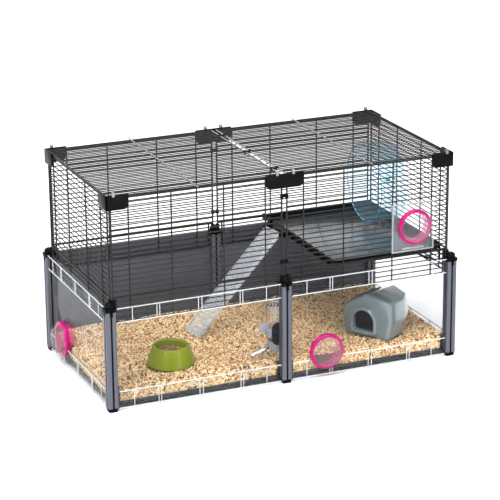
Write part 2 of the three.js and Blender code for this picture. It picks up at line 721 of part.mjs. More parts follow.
// ---- Access ports -------------------------------------------------------------------------

const PORT_SEGMENTS = 24;
const plateWires = uprightsOf(SIDES.front_right).slice(PLATE_COLUMN - 1, PLATE_COLUMN + 1);
const PLATE_X = [plateWires[0] - 3, plateWires[1] + 3];
const PLATE_PORT = { x: (PLATE_X[0] + PLATE_X[1]) / 2 + 2, z: 278 };

// A turned body that points outwards from a side, at a port's centre.
function acrossSide(profile, x, z) {
  return geometryOf(turned(profile, PORT_SEGMENTS)).rotateX(Math.PI / 2).translate(x, 0, z);
}

// The ring: a flange on the outer face and a sleeve through the hole.
function portRingGeometry({ x, z }) {
  const seat = SHEET_FACE + GAP;
  const sleeve = PORT_HOLE - 0.4;
  return acrossSide([
    [RING_BORE, RING_FACE], [RING_RADIUS, RING_FACE], [RING_RADIUS, seat], [sleeve, seat],
    [sleeve, -SLEEVE_DEPTH], [RING_BORE, -SLEEVE_DEPTH], [RING_BORE, RING_FACE],
  ], x, z);
}

// The cap: a shallow dome with a flange that rests on the ring and a skirt inside its bore.
function portCapGeometry({ x, z }) {
  const skirt = RING_BORE - 0.4;
  const wall = 1.6;
  const rest = RING_FACE + GAP;
  return acrossSide([
    [0, CAP_FACE], [18, CAP_FACE - 1], [skirt, CAP_FACE - 6], [skirt, rest + 2.4], [30, rest + 2.4],
    [30, rest], [skirt, rest], [skirt, 0], [skirt - wall, 0], [skirt - wall, CAP_FACE - 7],
    [17, CAP_FACE - 2.7], [0, CAP_FACE - wall],
  ], x, z);
}

// The clear plate that fills the opening in a grille and carries a port.
function portPlateGeometry() {
  const back = -GRILLE_INSET + WIRE_THICK / 2 + GAP;
  const plate = rectangle(PLATE_X[0], PLATE_LOW, PLATE_X[1], PLATE_HIGH);
  const hole = new THREE.Path();
  hole.absarc(PLATE_PORT.x, PLATE_PORT.z, PORT_HOLE, 0, 2 * Math.PI, true);
  plate.holes.push(hole);
  return upright(plate, -SHEET_FACE, -back, PORT_SEGMENTS);
}

const PORTS = {
  front: { side: "front_right", x: PORT_OFFSET, z: PORT_Z },
  end: { side: "end_left", x: PORT_OFFSET, z: PORT_Z },
  grille: { side: "front_right", ...PLATE_PORT },
};
for (const [name, port] of Object.entries(PORTS)) {
  place(`port_ring_${name}`, portRingGeometry(port), PINK_PLASTIC, sideFrames[port.side]);
  place(`port_cap_${name}`, portCapGeometry(port), CLEAR_PLASTIC, sideFrames[port.side]);
}
place("port_plate", portPlateGeometry(), CLEAR_PLASTIC, sideFrames.front_right);

// ---- Bedding ------------------------------------------------------------------------------

// The bedding stops short of a port's sleeve, so that the way in stays open.
function portClearance({ side, x, z }) {
  const frame = sideFrames[side];
  frame.updateMatrix();
  const room = geometryOf(roundAcross(x, z, PORT_HOLE + GAP, -SLEEVE_DEPTH - 1, SLEEVE_DEPTH));
  return solid(room.applyMatrix4(frame.matrix));
}

const beddingPlan = floorPlan(TRAY_WALL + GAP);
const beddingBody = cut(
  solid(raise(beddingPlan, TRAY_BOTTOM + TRAY_WALL + GAP, BEDDING_TOP)),
  portClearance(PORTS.front),
  portClearance(PORTS.end),
);
place("bedding", geometryOf(beddingBody), WOOD_PELLET);

// ---- Bowl ---------------------------------------------------------------------------------

const ON_BEDDING = BEDDING_TOP + 0.4;

const bowlProfile = [
  [0, 0], [46, 0], [46.5, 3], [43, 14], [36, 34], [33, 38], [29.5, 37], [27.5, 20], [23, 11], [0, 10],
];
place("bowl", geometryOf(turned(bowlProfile, 32)), LIME_PLASTIC, cage, [-203, -94, ON_BEDDING]);

// ---- House --------------------------------------------------------------------------------

// The outline on the floor runs from the near corner round the right, the back and the left,
// and ends in the middle of the gable wall, under the near end of the ridge.
// Each point is [distance back from the gable wall, distance across it].
const HOUSE_PLAN = [[0, 0], [52, -2], [90, 12], [107, 52], [93, 93], [52, 109], [0, 105], [0, 54]];
const HOUSE_CENTRE = 53.5;
const HOUSE_WAIST = 37; // height where the walls bulge most
const HOUSE_ROOF = [79, 76, 73, 80, 68, 62, 60, 90]; // height of the roof above each point
const HOUSE_WALL = 2.5;
const HOUSE_NEAR_CORNER = [225.3, -168, ON_BEDDING];
const HOUSE_TURN = THREE.MathUtils.degToRad(33);
const DOOR = { across: 56, width: 50, sill: 6, height: 50 };

// One level of the house: its outline swollen or drawn in, moved inwards by a wall's thickness.
function houseRing(swell, heights, wall) {
  const scale = swell * (1 - wall / HOUSE_CENTRE);
  return HOUSE_PLAN.map(([back, across], i) => [
    back === 0 ? wall : HOUSE_CENTRE + (back - HOUSE_CENTRE) * scale,
    HOUSE_CENTRE + (across - HOUSE_CENTRE) * scale,
    heights[i],
  ]);
}

function houseBody(wall, floor) {
  const level = (z) => HOUSE_PLAN.map(() => z);
  return skinned([
    houseRing(0.92, level(floor), wall),
    houseRing(1.06, level(HOUSE_WAIST), wall),
    houseRing(0.97, HOUSE_ROOF.map((z) => z - wall), wall),
  ]);
}

// An arched doorway through the gable wall.
function doorway() {
  const radius = DOOR.width / 2;
  const spring = DOOR.sill + DOOR.height - radius;
  const shape = new THREE.Shape();
  shape.moveTo(DOOR.across - radius, DOOR.sill);
  shape.lineTo(DOOR.across + radius, DOOR.sill);
  shape.absarc(DOOR.across, spring, radius, 0, Math.PI);
  const geometry = upright(shape, -8, 8, 7);
  return solid(geometry.rotateZ(Math.PI / 2));
}

const house = cut(houseBody(0, 0), houseBody(HOUSE_WALL, -1), doorway());
place("house", geometryOf(house), SAGE_PLASTIC, cage, HOUSE_NEAR_CORNER, HOUSE_TURN);

// ---- Drip bottle --------------------------------------------------------------------------

const BOTTLE = { x: -5, y: -141, radius: 19, bottom: 66, top: 156 };
const BOTTLE_SEGMENTS = 24;
const BOTTLE_WALL = 1.6;
const NECK_RADIUS = 12;
const COLLAR = 16; // radius of the bottle's screw cap
const COLLAR_TOP = 75;
const COLLAR_BOTTOM = 56;
const SPOUT_RADIUS = 4;
const SPOUT_START = new THREE.Vector3(-6, 0, 64.5); // inside the screw cap, cut away below
const SPOUT_END = new THREE.Vector3(-54, -4, 51.5);
const BADGE = { radius: 14, low: 86, high: 106, thick: 3 };
const TAB = { left: -37, right: -21, front: -6, back: -3.5, low: 100, high: 116 };
const CLASP = { low: 88, high: 104, inner: BOTTLE.radius + 0.5, outer: BOTTLE.radius + 3.5 };

function bottleGeometry() {
  const { radius, bottom, top } = BOTTLE;
  const inner = radius - BOTTLE_WALL;
  const bore = NECK_RADIUS - 1.5;
  return geometryOf(turned([
    [0, top], [13, top - 1], [radius, top - 7], [radius, bottom + 18], [NECK_RADIUS, bottom + 10],
    [NECK_RADIUS, bottom], [bore, bottom], [bore, bottom + 10.8], [inner, bottom + 19],
    [inner, top - 8], [12, top - 2.8], [0, top - BOTTLE_WALL],
  ], BOTTLE_SEGMENTS));
}

function bottleCapGeometry() {
  const seat = NECK_RADIUS + 0.5;
  const floor = BOTTLE.bottom - 0.4;
  return geometryOf(turned([
    [0, COLLAR_BOTTOM], [12, COLLAR_BOTTOM], [COLLAR, COLLAR_BOTTOM + 4.6], [COLLAR, COLLAR_TOP],
    [seat, COLLAR_TOP], [seat, floor], [0, floor],
  ], BOTTLE_SEGMENTS));
}

// A steel tube that leaves the side of the screw cap and falls gently away from it.
function spoutGeometry() {
  const length = SPOUT_START.distanceTo(SPOUT_END);
  const direction = SPOUT_END.clone().sub(SPOUT_START).normalize();
  const tube = new THREE.CylinderGeometry(SPOUT_RADIUS, SPOUT_RADIUS, length, 12);
  tube.rotateZ(Math.PI / 2);
  const frame = new THREE.Object3D();
  frame.position.copy(SPOUT_START).lerp(SPOUT_END, 0.5);
  frame.quaternion.setFromUnitVectors(new THREE.Vector3(-1, 0, 0), direction);
  frame.updateMatrix();
  tube.applyMatrix4(frame.matrix);
  const clearance = solid(new THREE.CylinderGeometry(COLLAR + GAP, COLLAR + GAP, 60, 24)
    .rotateX(Math.PI / 2).translate(0, 0, COLLAR_TOP));
  return geometryOf(cut(solid(tube), clearance));
}

// A plate against the middle post, an open clasp round the front of the bottle, and a thumb tab.
function holderGeometry() {
  const clasp = new THREE.Shape();
  clasp.absarc(0, 0, CLASP.outer, Math.PI, 2 * Math.PI);
  clasp.absarc(0, 0, CLASP.inner, 2 * Math.PI, Math.PI, true);
  const badge = new THREE.Shape();
  badge.absarc(0, BADGE.low, BADGE.radius, Math.PI, 2 * Math.PI);
  badge.absarc(0, BADGE.high, BADGE.radius, 0, Math.PI);
  const badgeFace = -(POST_Y - POST / 2) - BOTTLE.y + GAP;
  const tab = box([TAB.left, TAB.front, TAB.low], [TAB.right, TAB.back, TAB.high]);
  return geometryOf(join(
    solid(raise(clasp, CLASP.low, CLASP.high, 12)),
    solid(upright(badge, badgeFace, badgeFace + BADGE.thick, 8)),
    tab,
  ));
}

const BOTTLE_PLACE = [BOTTLE.x, BOTTLE.y, 0];
place("bottle", bottleGeometry(), CLEAR_PLASTIC, cage, BOTTLE_PLACE);
place("bottle_cap", bottleCapGeometry(), HOLDER_PLASTIC, cage, BOTTLE_PLACE);
place("bottle_spout", spoutGeometry(), STEEL, cage, BOTTLE_PLACE);
place("bottle_holder", holderGeometry(), HOLDER_PLASTIC, cage, BOTTLE_PLACE);

export default cage;
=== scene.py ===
"""Looks of the modular hamster cage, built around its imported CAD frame. Metres, +Z up."""
import json
import math
import random
from contextlib import contextmanager
from functools import lru_cache

import bmesh
import bpy
from mathutils import Matrix, Vector


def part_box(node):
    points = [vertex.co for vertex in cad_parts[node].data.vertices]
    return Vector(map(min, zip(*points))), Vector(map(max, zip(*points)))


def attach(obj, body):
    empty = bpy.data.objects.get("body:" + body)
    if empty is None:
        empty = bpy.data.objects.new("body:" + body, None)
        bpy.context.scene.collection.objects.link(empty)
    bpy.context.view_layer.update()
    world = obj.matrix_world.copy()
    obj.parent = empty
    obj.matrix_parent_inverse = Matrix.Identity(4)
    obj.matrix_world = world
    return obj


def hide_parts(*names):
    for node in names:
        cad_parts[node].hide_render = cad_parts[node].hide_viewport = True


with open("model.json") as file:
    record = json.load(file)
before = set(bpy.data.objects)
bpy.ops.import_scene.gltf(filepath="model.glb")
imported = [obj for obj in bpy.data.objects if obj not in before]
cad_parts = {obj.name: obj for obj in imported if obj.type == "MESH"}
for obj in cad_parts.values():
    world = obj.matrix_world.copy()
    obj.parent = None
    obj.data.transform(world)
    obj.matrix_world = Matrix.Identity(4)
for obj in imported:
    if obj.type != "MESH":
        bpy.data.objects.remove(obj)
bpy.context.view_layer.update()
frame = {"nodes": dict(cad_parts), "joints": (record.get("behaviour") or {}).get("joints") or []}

MM = 0.001
ROWS = ("front", "back")
COLUMNS = ("left", "middle", "right")
POST_NAMES = [f"{row}_{column}" for row in ROWS for column in COLUMNS]
PORT_NAMES = ("front", "end", "grille")


@lru_cache(maxsize=None)
def box(node):
    """The lowest and highest corners of a CAD node, read once."""
    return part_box(node)


def extent(node):
    """The same two corners as vectors."""
    return [Vector(corner) for corner in box(node)]


def middle(node):
    """The middle of a CAD node's box."""
    lo, hi = extent(node)
    return (lo + hi) / 2


def in_mm(pairs):
    """Pairs given in millimetres, as pairs of metres."""
    return [(a * MM, b * MM) for a, b in pairs]


def above(point, z=0.0):
    """A frame that stands over a point, at a height."""
    return Matrix.Translation((point.x, point.y, z))


def upright_frame(along, out, corner):
    """Maps (u, z, v) to the cage's frame: u along a wall, z up, v towards its outside."""
    turn = Matrix((Vector(along), Vector((0, 0, 1)), Vector(out))).transposed().to_4x4()
    return Matrix.Translation(corner) @ turn


def turns(at, count, offset=0.0):
    """A frame turned about its own Z by equal steps, once round."""
    return [at @ Matrix.Rotation(math.tau * i / count + offset, 4, "Z") for i in range(count)]


def joint(name):
    """What the frame says about one joint."""
    return next(found for found in frame["joints"] if found["name"] == name)


def linked(name, data):
    """A new object in the scene that shows a mesh, a lamp or a camera."""
    made = bpy.data.objects.new(name, data)
    bpy.context.scene.collection.objects.link(made)
    return made


@contextmanager
def edited(mesh):
    """A mesh opened for editing and written back at the end."""
    work = bmesh.new()
    work.from_mesh(mesh)
    yield work
    work.to_mesh(mesh)
    work.free()


# ---- Sides of the cage --------------------------------------------------------------------

FRAME_WIRE = 1.7 * MM  # radius of the thicker wires that edge a grille
FILL_WIRE = 1.17 * MM  # radius of the closely spaced wires
UPRIGHT_WIRE = 1.5 * MM  # radius of the few wires that cross them
LATTICE_HALF = 1.5 * MM  # half the width of the edge bars of the CAD's flat lattice


class Side:
    """A side seen from outside: u runs along it, out points away from the cage, z is up."""

    def __init__(self, name, along, out):
        self.along = Vector(along)
        self.out = Vector(out)
        self.centre = middle(f"panel_{name}")
        lo, hi = extent(f"grille_{name}")
        ends = sorted((self.u(lo), self.u(hi)))
        self.start = ends[0] + FRAME_WIRE
        self.end = ends[1] - FRAME_WIRE
        self.plane = self.v((lo + hi) / 2)
        self.panel_half = max(abs(self.u(Vector(corner))) for corner in box(f"panel_{name}"))

    def u(self, point):
        return (point - self.centre).dot(self.along)

    def v(self, point):
        return (point - self.centre).dot(self.out)

    def at(self, u, v, z):
        spot = self.centre + self.along * u + self.out * v
        return Vector((spot.x, spot.y, z))

    def matrix(self, u, v, z):
        """A frame at a place on the side whose Z axis points outwards."""
        return upright_frame(self.along, self.out, self.at(u, v, z))


DIRECTIONS = {
    "front_left": ((1, 0, 0), (0, -1, 0)),
    "front_right": ((1, 0, 0), (0, -1, 0)),
    "back_left": ((-1, 0, 0), (0, 1, 0)),
    "back_right": ((-1, 0, 0), (0, 1, 0)),
    "end_left": ((0, -1, 0), (-1, 0, 0)),
    "end_right": ((0, 1, 0), (1, 0, 0)),
}
SIDES = {name: Side(name, along, out) for name, (along, out) in DIRECTIONS.items()}

# ---- Materials ----------------------------------------------------------------------------


def linear(hex_colour):
    """A display colour such as "73757f" as the linear colour that shaders take."""
    channels = [int(hex_colour[i : i + 2], 16) / 255 for i in (0, 2, 4)]
    return tuple(c / 12.92 if c < 0.04045 else ((c + 0.055) / 1.055) ** 2.4 for c in channels)


class Shader:
    """A node material with short calls for the nodes that the finishes share."""

    def __init__(self, name):
        self.material = bpy.data.materials.new(name)
        self.material.use_nodes = True
        self.tree = self.material.node_tree
        self.surface = self.tree.nodes["Principled BSDF"]
        self.output = self.tree.nodes["Material Output"]

    def node(self, kind, **settings):
        made = self.tree.nodes.new(kind)
        for key, value in settings.items():
            setattr(made, key, value)
        return made

    def link(self, source, target):
        self.tree.links.new(source, target)

    def set(self, **values):
        for key, value in values.items():
            self.surface.inputs[key.replace("_", " ")].default_value = value

    def position(self, stretch=(1, 1, 1)):
        """Object-space position, squeezed along some axes to draw a grain out."""
        place = self.node("ShaderNodeTexCoord")
        scaled = self.node("ShaderNodeMapping")
        scaled.inputs["Scale"].default_value = stretch
        self.link(place.outputs["Object"], scaled.inputs["Vector"])
        return scaled.outputs["Vector"]

    def noise(self, scale, detail=3.0, stretch=(1, 1, 1)):
        made = self.node("ShaderNodeTexNoise")
        made.inputs["Scale"].default_value = scale
        made.inputs["Detail"].default_value = detail
        self.link(self.position(stretch), made.inputs["Vector"])
        return made.outputs["Fac"]

    def ramp(self, factor, stops):
        made = self.node("ShaderNodeValToRGB")
        elements = made.color_ramp.elements
        while len(elements) < len(stops):
            elements.new(0.5)
        for element, (place, colour) in zip(elements, stops):
            element.position = place
            element.color = (*colour, 1)
        self.link(factor, made.inputs["Fac"])
        return made.outputs["Color"]

    def spread(self, factor, low, high):
        made = self.node("ShaderNodeMapRange")
        made.inputs["To Min"].default_value = low
        made.inputs["To Max"].default_value = high
        self.link(factor, made.inputs["Value"])
        return made.outputs["Result"]

    def bump(self, height, distance, strength):
        made = self.node("ShaderNodeBump")
        made.inputs["Strength"].default_value = strength
        made.inputs["Distance"].default_value = distance
        self.link(height, made.inputs["Height"])
        self.link(made.outputs["Normal"], self.surface.inputs["Normal"])

    def sheen(self, factor, low, high):
        """Lets the roughness wander between two values."""
        self.link(self.spread(factor, low, high), self.surface.inputs["Roughness"])

    def blend(self, factor, first, second):
        made = self.node("ShaderNodeMixShader")
        for source, place in ((factor, "Fac"), (first, 1), (second, 2)):
            self.link(source, made.inputs[place])
        return made.outputs["Shader"]

    def mottle(self, colour, amount, scale, stretch=(1, 1, 1)):
        """Varies the base colour a little about its mean."""
        dark = tuple(c * (1 - amount) for c in colour)
        light = tuple(min(c * (1 + amount), 1) for c in colour)
        shade = self.ramp(self.noise(scale, 4.0, stretch), [(0.35, dark), (0.65, light)])
        self.link(shade, self.surface.inputs["Base Color"])


def moulded_plastic(name, hex_colour, roughness, grain=0.00004, gloss_coat=0.0, specular=0.5):
    """Opaque moulded plastic: faint colour drift, uneven sheen and a fine skin texture."""
    shader = Shader(name)
    shader.mottle(linear(hex_colour), 0.06, 18.0)
    shader.sheen(shader.noise(60.0), roughness * 0.85, roughness * 1.2)
    shader.bump(shader.noise(1400.0, 2.0), grain, 0.5)
    shader.set(IOR=1.5, Specular_IOR_Level=specular, Coat_Weight=gloss_coat, Coat_Roughness=0.08)
    return shader.material


def satin_aluminium(name, hex_colour):
    """Anodised extrusion: fine lines drawn out along its length."""
    shader = Shader(name)
    lines = (1, 1, 0.01)
    shader.mottle(linear(hex_colour), 0.1, 900.0, lines)
    shader.sheen(shader.noise(700.0, 2.0, lines), 0.34, 0.46)
    shader.bump(shader.noise(1200.0, 2.0, lines), 0.00002, 0.4)
    shader.set(Metallic=0.55)
    return shader.material


def coated_wire(name, hex_colour, roughness, specular=0.25):
    """Dipped wire: smooth black skin with slow ripples."""
    shader = Shader(name)
    shader.mottle(linear(hex_colour), 0.15, 90.0)
    shader.sheen(shader.noise(140.0), roughness * 0.8, roughness * 1.3)
    shader.bump(shader.noise(500.0, 2.0), 0.00003, 0.3)
    shader.set(IOR=1.5, Specular_IOR_Level=specular)
    return shader.material


def polished_steel(name, hex_colour):
    shader = Shader(name)
    shader.mottle(linear(hex_colour), 0.08, 300.0)
    shader.sheen(shader.noise(260.0), 0.12, 0.24)
    shader.set(Metallic=1.0)
    return shader.material


def clear_plastic(name, hex_tint):
    """Clear moulding that bends what is behind it. Lamps shine straight through it."""
    shader = Shader(name)
    tint = linear(hex_tint)
    shader.mottle(tint, 0.02, 12.0)
    shader.set(Roughness=0.02, IOR=1.46, Transmission_Weight=1.0)
    shader.bump(shader.noise(35.0, 2.0), 0.000002, 0.5)
    clear = shader.node("ShaderNodeBsdfTransparent")
    clear.inputs["Color"].default_value = (*tint, 1)
    shadow = shader.node("ShaderNodeLightPath").outputs["Is Shadow Ray"]
    mixed = shader.blend(shadow, shader.surface.outputs["BSDF"], clear.outputs["BSDF"])
    shader.link(mixed, shader.output.inputs["Surface"])
    return shader.material


def clear_sheet(name, hex_tint, haze, haze_colour="ffffff"):
    """A flat clear sheet: seen straight through, brighter and more mirror-like at a slant."""
    shader = Shader(name)
    through = shader.node("ShaderNodeBsdfTransparent")
    tint = shader.ramp(shader.noise(9.0), [(0.3, linear(hex_tint)), (0.7, (1, 1, 1))])
    shader.link(tint, through.inputs["Color"])
    shader.set(Metallic=0.0, Roughness=0.05, IOR=1.5)
    shader.mottle(linear(haze_colour), 0.02, 12.0)
    mirror = shader.node("ShaderNodeBsdfGlossy")
    mirror.inputs["Roughness"].default_value = 0.03
    slant = shader.node("ShaderNodeLayerWeight")
    slant.inputs["Blend"].default_value = 0.5
    steep = shader.node("ShaderNodeMath", operation="POWER")
    steep.inputs[1].default_value = 5.0
    shader.link(slant.outputs["Facing"], steep.inputs[0])
    share = shader.spread(steep.outputs["Value"], 0.004, 0.3)
    sheet = shader.blend(share, through.outputs["BSDF"], mirror.outputs["BSDF"])
    cloud = shader.spread(shader.noise(30.0), haze * 0.85, haze * 1.15)
    milky = shader.blend(cloud, sheet, shader.surface.outputs["BSDF"])
    shader.link(milky, shader.output.inputs["Surface"])
    return shader.material


def granules(name, shades, roughness, scale):
    """Loose dry pieces, each of its own shade, with a fibrous surface."""
    shader = Shader(name)
    each = shader.node("ShaderNodeNewGeometry")
    stops = [(i / (len(shades) - 1), linear(shade)) for i, shade in enumerate(shades)]
    shade = shader.ramp(each.outputs["Random Per Island"], stops)
    fleck = shader.ramp(shader.noise(scale, 4.0), [(0.3, (0.8, 0.77, 0.72)), (0.7, (1, 1, 1))])
    mixed = shader.node("ShaderNodeMix", data_type="RGBA", blend_type="MULTIPLY")
    mixed.inputs["Factor"].default_value = 1.0
    shader.link(shade, mixed.inputs[6])
    shader.link(fleck, mixed.inputs[7])
    shader.link(mixed.outputs[2], shader.surface.inputs["Base Color"])
    shader.sheen(shader.noise(scale * 2), roughness * 0.9, roughness * 1.05)
    shader.bump(shader.noise(scale * 1.5, 3.0), 0.0003, 0.6)
    return shader.material


ALUMINIUM = satin_aluminium("satin_aluminium", "585b65")
BLACK = moulded_plastic("black_plastic", "07080a", 0.34, specular=0.06)
SLATE = moulded_plastic("slate_plastic", "42454f", 0.42)
TRAY = moulded_plastic("tray_plastic", "14171d", 0.24, gloss_coat=0.2)
PLATFORM = moulded_plastic("platform_plastic", "353c42", 0.24, 0.00001, 0.8, 0.8)
WIRE = coated_wire("black_wire", "1a1817", 0.3)
# Lighter grey for wires and hooks that are as black as the rest: painted highlight.
PAINTED_HIGHLIGHT_WIRE = coated_wire("bright_wire", "6a6c70", 0.16, 1.0)
CLEAR = clear_sheet("clear_panel", "f4f6f8", 0.004)
# Milky white for the clear panels' edges: painted highlight.
EDGE_HIGHLIGHT = clear_sheet("clear_edge_painted_highlight", "eef1f4", 0.4, "fbfcfd")
PLATE_CLEAR = clear_sheet("clear_plate", "e6e9ee", 0.06, "fbfcfd")
CAP_CLEAR = clear_sheet("clear_cap", "f7f1f5", 0.035, "fdf3f8")
BOTTLE_CLEAR = clear_plastic("clear_bottle", "f6f7f8")
RAMP_CLEAR = clear_sheet("ramp_plastic", "eef1f4", 0.22, "eceef2")
WHEEL_CLEAR = clear_sheet("wheel_plastic", "e6f5fb", 0.05, "b4dced")
WHEEL_RIM = clear_sheet("wheel_rim", "a9dcf0", 0.4, "6fc4e4")
SLEEVE_CLEAR = clear_sheet("pink_sleeve", "ffc4e2", 0.22, "ff4aa8")
HOLDER_CLEAR = clear_sheet("holder_plastic", "c9cdd4", 0.6, "a7adb8")
PINK = moulded_plastic("pink_plastic", "aa0062", 0.16, 0.00001, 0.1, 0.2)
LIME = moulded_plastic("lime_plastic", "747f00", 0.2, 0.00001, 0.12, 0.15)
SAGE = moulded_plastic("sage_plastic", "6a787b", 0.12, 0.00001, 1.0)
# Near-black for the inside of the house: painted shade.
HOUSE_PAINTED_SHADE = moulded_plastic("house_inside_painted_shade", "060606", 0.7, specular=0.04)
STEEL = polished_steel("spout_steel", "c9ccd0")
WOOD = granules("wood_bedding", ["5c4024", "c08f5a", "e6bf8b", "ffedcb", "f4d5a4", "b58650"], 0.75, 900.0)
# Darker brown for the body under the granules: painted shade in the gaps between them.
WOOD_GAP_SHADE = granules("wood_bedding_gap_shade", ["58401f", "785631"], 0.9, 900.0)
FOOD = granules("food", ["4a2c1c", "7a4a2a", "b08a58", "5c3320", "d9c29a"], 0.6, 700.0)

# ---- Mesh building ------------------------------------------------------------------------

ON_AXIS = 1e-7  # a turned point nearer to the axis than this lies on it
CORNER_STEPS = 4
CUBE = [(x, y, z) for z in (-1, 1) for y in (-1, 1) for x in (-1, 1)]
CUBE_FACES = [(0, 2, 3, 1), (4, 5, 7, 6), (0, 1, 5, 4), (2, 6, 7, 3), (0, 4, 6, 2), (1, 3, 7, 5)]


class Shape:
    """Vertices and faces that grow part by part, then become one piece."""

    def __init__(self):
        self.points = []
        self.faces = []

    def rings(self, rings, closed=False, capped=True):
        """Skins equal rings of points into a tube, closed on itself or with end caps."""
        count = len(rings[0])
        base = len(self.points)
        self.points += [tuple(point) for ring in rings for point in ring]
        levels = len(rings) if closed else len(rings) - 1
        for level in range(levels):
            here = base + level * count
            there = base + ((level + 1) % len(rings)) * count
            for i in range(count):
                j = (i + 1) % count
                self.faces.append((here + i, here + j, there + j, there + i))
        if capped and not closed:
            last = base + (len(rings) - 1) * count
            self.faces.append(tuple(reversed(range(base, base + count))))
            self.faces.append(tuple(range(last, last + count)))

    def wire(self, path, radius, sides=8):
        """A round bar along a path of points."""
        path = [Vector(point) for point in path]
        last = len(path) - 1
        tangents = []
        for i in range(len(path)):
            before, after = path[max(i - 1, 0)], path[min(i + 1, last)]
            tangents.append((after - before).normalized())
        helper = Vector((0, 0, 1)) if abs(tangents[0].z) < 0.9 else Vector((1, 0, 0))
        normal = tangents[0].cross(helper).normalized()
        angles = [math.tau * k / sides for k in range(sides)]
        rings = []
        for point, tangent in zip(path, tangents):
            normal = (normal - tangent * normal.dot(tangent)).normalized()
            side = tangent.cross(normal)
            rings.append([point + radius * (math.cos(a) * normal + math.sin(a) * side) for a in angles])
        self.rings(rings)

    def turned(self, profile, matrix, segments):
        """A closed profile of (radius, height) turned about Z; points on the axis are shared."""
        angles = [math.tau * k / segments for k in range(segments)]
        index = []
        for radius, height in profile:
            first = len(self.points)
            if radius < ON_AXIS:
                index.append([first] * segments)
                self.points.append(tuple(matrix @ Vector((0, 0, height))))
                continue
            index.append(list(range(first, first + segments)))
            for a in angles:
                spot = Vector((radius * math.cos(a), radius * math.sin(a), height))
                self.points.append(tuple(matrix @ spot))
        on_axis = profile[0][0] < ON_AXIS
        pairs = list(zip(index, index[1:])) + ([] if on_axis else [(index[-1], index[0])])
        for low, high in pairs:
            for k in range(segments):
                j = (k + 1) % segments
                corners = []
                for vertex in (low[k], low[j], high[j], high[k]):
                    if vertex not in corners:
                        corners.append(vertex)
                if len(corners) > 2:
                    self.faces.append(tuple(corners))

    def block(self, lo, hi, matrix=None):
        """A box between two corners."""
        matrix = matrix or Matrix.Identity(4)
        flat = [(lo[0], lo[1]), (hi[0], lo[1]), (hi[0], hi[1]), (lo[0], hi[1])]
        self.rings([[matrix @ Vector((x, y, z)) for x, y in flat] for z in (lo[2], hi[2])])

    def prism(self, outline, z0, z1, matrix):
        """An outline of (x, y) raised from one height to another."""
        self.rings([[matrix @ Vector((x, y, z)) for x, y in outline] for z in (z0, z1)])

    def piece(self, name, body, material, slot, node=None, bevel=0.0, segments=2, sharp=38.0):
        """Makes the object, softens its edges and ties it to its body and its CAD node."""
        mesh = bpy.data.meshes.new(name)
        mesh.from_pydata(self.points, [], self.faces)
        mesh.update()
        finished(name, mesh, body, material, node, bevel, segments, sharp)


def finished(name, mesh, body, material, node=None, bevel=0.0, segments=2, sharp=38.0):
    """An object from a mesh: faces outwards, edges rounded, smooth but for its sharp edges."""
    with edited(mesh) as work:
        bmesh.ops.recalc_face_normals(work, faces=work.faces)
    piece = linked(name, mesh)
    if bevel:
        soften(piece, bevel, segments)
    piece.data.polygons.foreach_set("use_smooth", [True] * len(piece.data.polygons))
    piece.data.set_sharp_from_angle(angle=math.radians(sharp))
    piece.data.materials.clear()
    piece.data.materials.append(material)
    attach(piece, body)
    if node:
        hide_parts(node)


def soften(piece, width, segments):
    """Rounds the edges of a mesh for good."""
    rounding = piece.modifiers.new("rounding", "BEVEL")
    rounding.width = width
    rounding.segments = segments
    rounding.limit_method = "ANGLE"
    rounding.angle_limit = math.radians(32)
    rounding.use_clamp_overlap = True
    apply_modifiers(piece)


def apply_modifiers(piece):
    view = bpy.context.evaluated_depsgraph_get()
    mesh = bpy.data.meshes.new_from_object(piece.evaluated_get(view))
    piece.modifiers.clear()
    piece.data = mesh


def refined(node, body, material, bevel):
    """A CAD node's own shape with its edges rounded."""
    mesh = frame["nodes"][node].data.copy()
    with edited(mesh) as work:
        bmesh.ops.remove_doubles(work, verts=work.verts, dist=0.01 * MM)
        bmesh.ops.dissolve_limit(work, angle_limit=math.radians(1), verts=work.verts, edges=work.edges)
    finished(f"{node}_look", mesh, body, material, node, bevel)


def arc(centre, radius, start, stop, steps):
    """Points (x, y) on a circle, from one angle in degrees to another."""
    angles = [math.radians(start + (stop - start) * i / steps) for i in range(steps + 1)]
    return [(centre[0] + radius * math.cos(a), centre[1] + radius * math.sin(a)) for a in angles]


def rounded_rectangle(half_x, half_y, radius):
    outline = []
    for sx, sy, start in ((1, -1, -90), (1, 1, 0), (-1, 1, 90), (-1, -1, 180)):
        centre = (sx * (half_x - radius), sy * (half_y - radius))
        outline += arc(centre, radius, start, start + 90, CORNER_STEPS)
    return outline


# ---- Posts, feet and post caps ------------------------------------------------------------

SLOT_HALF = 1.8 * MM
PRONG_REACH = 12 * MM  # a grille's end wire this near to a post stands in its cap
CLIP_RADIUS, CLIP_BORE = 4.1 * MM, 2.2 * MM
CLIP_ARC = (-215, 35)  # degrees round the wire that a spring clip covers
BOSS_FLUTES = 16
CAP_SHOULDER = 6.5 * MM  # height of a cap's square base over its post


def post_outline(half):
    """A square extrusion with a lipped slot down the middle of each face."""
    corner = 2.6 * MM
    depth = 4.6 * MM
    lip = 0.5 * MM
    outline = []
    for turn in range(4):
        side = [(half, -half + corner), (half, -SLOT_HALF - 2 * lip), (half - lip, -SLOT_HALF - lip)]
        side += [(half - lip, -SLOT_HALF), (half - depth, -SLOT_HALF)]
        side += [(half - depth, SLOT_HALF), (half - lip, SLOT_HALF)]
        side += [(half - lip, SLOT_HALF + lip), (half, SLOT_HALF + 2 * lip)]
        side += arc((half - corner, half - corner), corner, 0, 90, 4)[:-1]
        for x, y in side:
            for _ in range(turn):
                x, y = -y, x
            outline.append((x, y))
    return outline


